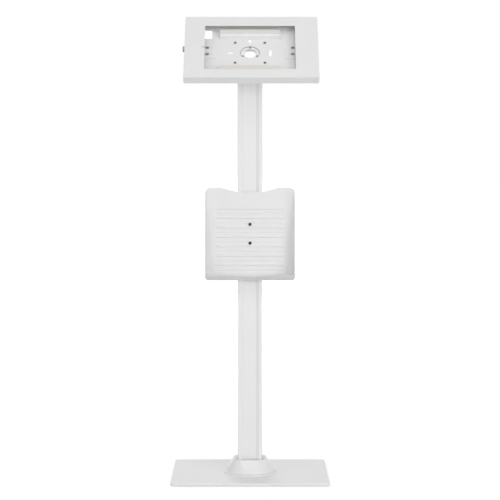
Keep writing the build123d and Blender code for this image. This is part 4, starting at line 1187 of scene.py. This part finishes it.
def piece_from(
    shape: bmesh.types.BMesh, name: str, place: Matrix, finish: Finish, levels: int
) -> bpy.types.Object:
    """Turn a shape into a smooth piece at its place.

    Args:
        shape: The shape, which is freed.
        name: Name of the piece.
        place: Turn and shift of the whole shape.
        finish: The piece's finish.
        levels: Levels of subdivision.

    Returns:
        The piece, at the origin with its place in its mesh.
    """
    shape.transform(place)
    for face in shape.faces:
        face.smooth = True
    mesh = bpy.data.meshes.new(name)
    shape.to_mesh(mesh)
    shape.free()
    mesh.materials.append(finish.material())
    piece = add_object(name, mesh)
    smooth = piece.modifiers.new("smooth", "SUBSURF")
    smooth.levels = levels
    smooth.render_levels = levels
    return piece


@dataclass(frozen=True)
class Lamp:
    """A square soft box that faces a point, seen in glossy surfaces only where it is mirrored."""

    name: str
    place: tuple[float, float, float]
    target: tuple[float, float, float]
    size: float
    power: float
    mirrored: bool = True


@dataclass
class Studio:
    """White floor and backdrop, soft lamps and the camera."""

    camera_place: tuple[float, float, float] = (0.0, -4.010, 0.862)
    camera_pitch: float = 3.98
    lens: float = 112.6
    sensor_width: float = 36.0
    view_end: float = 100.0
    surroundings: float = 0.50
    slant: tuple[float, float, float] = (-0.12, 0.04, -0.03)
    floor_size: float = 60.0
    floor_colour: Colour = (0.68, 0.68, 0.68)
    floor_roughness: float = 0.9
    floor_gloss: float = 0.1
    # The floor's glow is weaker near the stand, from the first distance to the second: painted shade round
    # the stand, over its real shadow.
    glow_reach: tuple[float, float] = (0.3, 1.6)
    glow: tuple[float, float] = (0.5, 1.0)
    lamps: tuple[Lamp, ...] = (
        Lamp("right_box", (4.2, -5.2, 1.5), (0.0, 0.0, 0.6), 3.2, 136.0, mirrored=False),
        Lamp("left_box", (-4.2, -5.2, 1.5), (0.0, 0.0, 0.6), 3.2, 54.0, mirrored=False),
        Lamp("low_box", (0.5, -5.5, 0.45), (0.0, 0.0, 0.3), 0.8, 24.0),
        Lamp("front_box", (0.3, -3.0, 4.0), (0.0, 0.0, 0.5), 2.0, 22.0),
        Lamp("top_box", (0.2, -0.9, 4.2), (0.0, 0.0, 0.5), 2.4, 8.0),
        Lamp("back_box", (-0.8, 4.4, 1.6), (0.0, 0.0, 0.6), 2.4, 80.0, mirrored=False),
    )

    def build(self) -> None:
        """Set up everything that isn't the stand."""
        self.set_colours()
        self.add_world()
        self.add_floor()
        for lamp in self.lamps:
            self.add_lamp(lamp)
        self.add_camera()

    def set_colours(self) -> None:
        """Show colours as they are written."""
        bpy.context.scene.view_settings.view_transform = "Standard"

    def add_world(self) -> None:
        """A grey light all round, stronger from one side, behind a backdrop that looks white."""
        world = bpy.data.worlds.new("studio")
        world.use_nodes = True
        world.node_tree.nodes.clear()
        tree = NodeTree(world.node_tree)
        direction = tree.add("ShaderNodeTexCoord").outputs["Generated"]
        slope = tree.vector("DOT_PRODUCT", direction, self.slant)
        around = tree.math("ADD", slope, self.surroundings)
        inputs = {"Value": self.seen(tree), "To Min": around, "To Max": 1.0}
        level = tree.add("ShaderNodeMapRange", inputs).outputs[0]
        background = tree.add("ShaderNodeBackground", {"Color": WHITE_LIGHT, "Strength": level})
        tree.add("ShaderNodeOutputWorld", {"Surface": background.outputs[0]})
        bpy.context.scene.world = world

    def seen(self, tree: NodeTree) -> bpy.types.NodeSocket:
        """Whether a ray comes from the camera, from a gloss or through something clear.

        Args:
            tree: The tree that it is added to.

        Returns:
            The answer's socket, 1 or 0.
        """
        path = tree.add("ShaderNodeLightPath").outputs
        shown = tree.math("MAXIMUM", path["Is Camera Ray"], path["Is Glossy Ray"])
        return tree.math("MAXIMUM", shown, path["Is Transmission Ray"])

    def add_floor(self) -> None:
        """A floor that looks white and still takes the stand's shadow, with painted shade near the stand
        where its glow is weaker.
        """
        half = self.floor_size / 2
        mesh = bpy.data.meshes.new("floor")
        corners = [(-half, -half, 0), (half, -half, 0), (half, half, 0), (-half, half, 0)]
        mesh.from_pydata(corners, [], [(0, 1, 2, 3)])
        tree = SurfaceTree("white_floor")
        tree.shader.inputs["Base Color"].default_value = (*self.floor_colour, 1.0)
        tree.shader.inputs["Roughness"].default_value = self.floor_roughness
        tree.shader.inputs["Specular IOR Level"].default_value = self.floor_gloss
        tree.shader.inputs["Emission Color"].default_value = WHITE_LIGHT
        inputs = {
            "Value": tree.vector("LENGTH", tree.coordinates), "From Min": self.glow_reach[0],
            "From Max": self.glow_reach[1], "To Min": self.glow[0], "To Max": self.glow[1],
        }
        # Less glow near the stand: painted shade round it.
        glow = tree.add("ShaderNodeMapRange", inputs).outputs[0]
        tree.feed(tree.shader.inputs["Emission Strength"], tree.times(self.seen(tree), glow))
        mesh.materials.append(tree.material)
        floor = add_object("floor", mesh)

    def add_lamp(self, lamp: Lamp) -> None:
        """Add one soft box.

        Args:
            lamp: Where it stands and how strong it is.
        """
        data = bpy.data.lights.new(lamp.name, "AREA")
        data.shape = "SQUARE"
        data.size = lamp.size
        data.energy = lamp.power
        box = add_object(lamp.name, data)
        box.location = lamp.place
        box.visible_glossy = lamp.mirrored
        aim = Vector(lamp.target) - Vector(lamp.place)
        box.rotation_euler = aim.to_track_quat("-Z", "Y").to_euler()

    def add_camera(self) -> None:
        """A long lens in front of the stand, a little above its middle."""
        data = bpy.data.cameras.new("camera")
        data.lens = self.lens
        data.sensor_width = self.sensor_width
        data.clip_end = self.view_end
        camera = add_object("camera", data)
        camera.location = self.camera_place
        camera.rotation_euler = (math.radians(90 - self.camera_pitch), 0, 0)
        bpy.context.scene.camera = camera


def main() -> None:
    """Load the frame, dress it and set up the studio."""
    logging.basicConfig(level=logging.INFO, format="%(message)s")
    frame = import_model()
    groups = (
        FloorBase, Column, BrochureHolder, TiltHead, RotationJoint, Clamps, FoamRests, Enclosure, FrontCover,
    )
    for group in groups:
        group(frame).make()
    Studio().build()


if __name__ == "__main__":
    main()
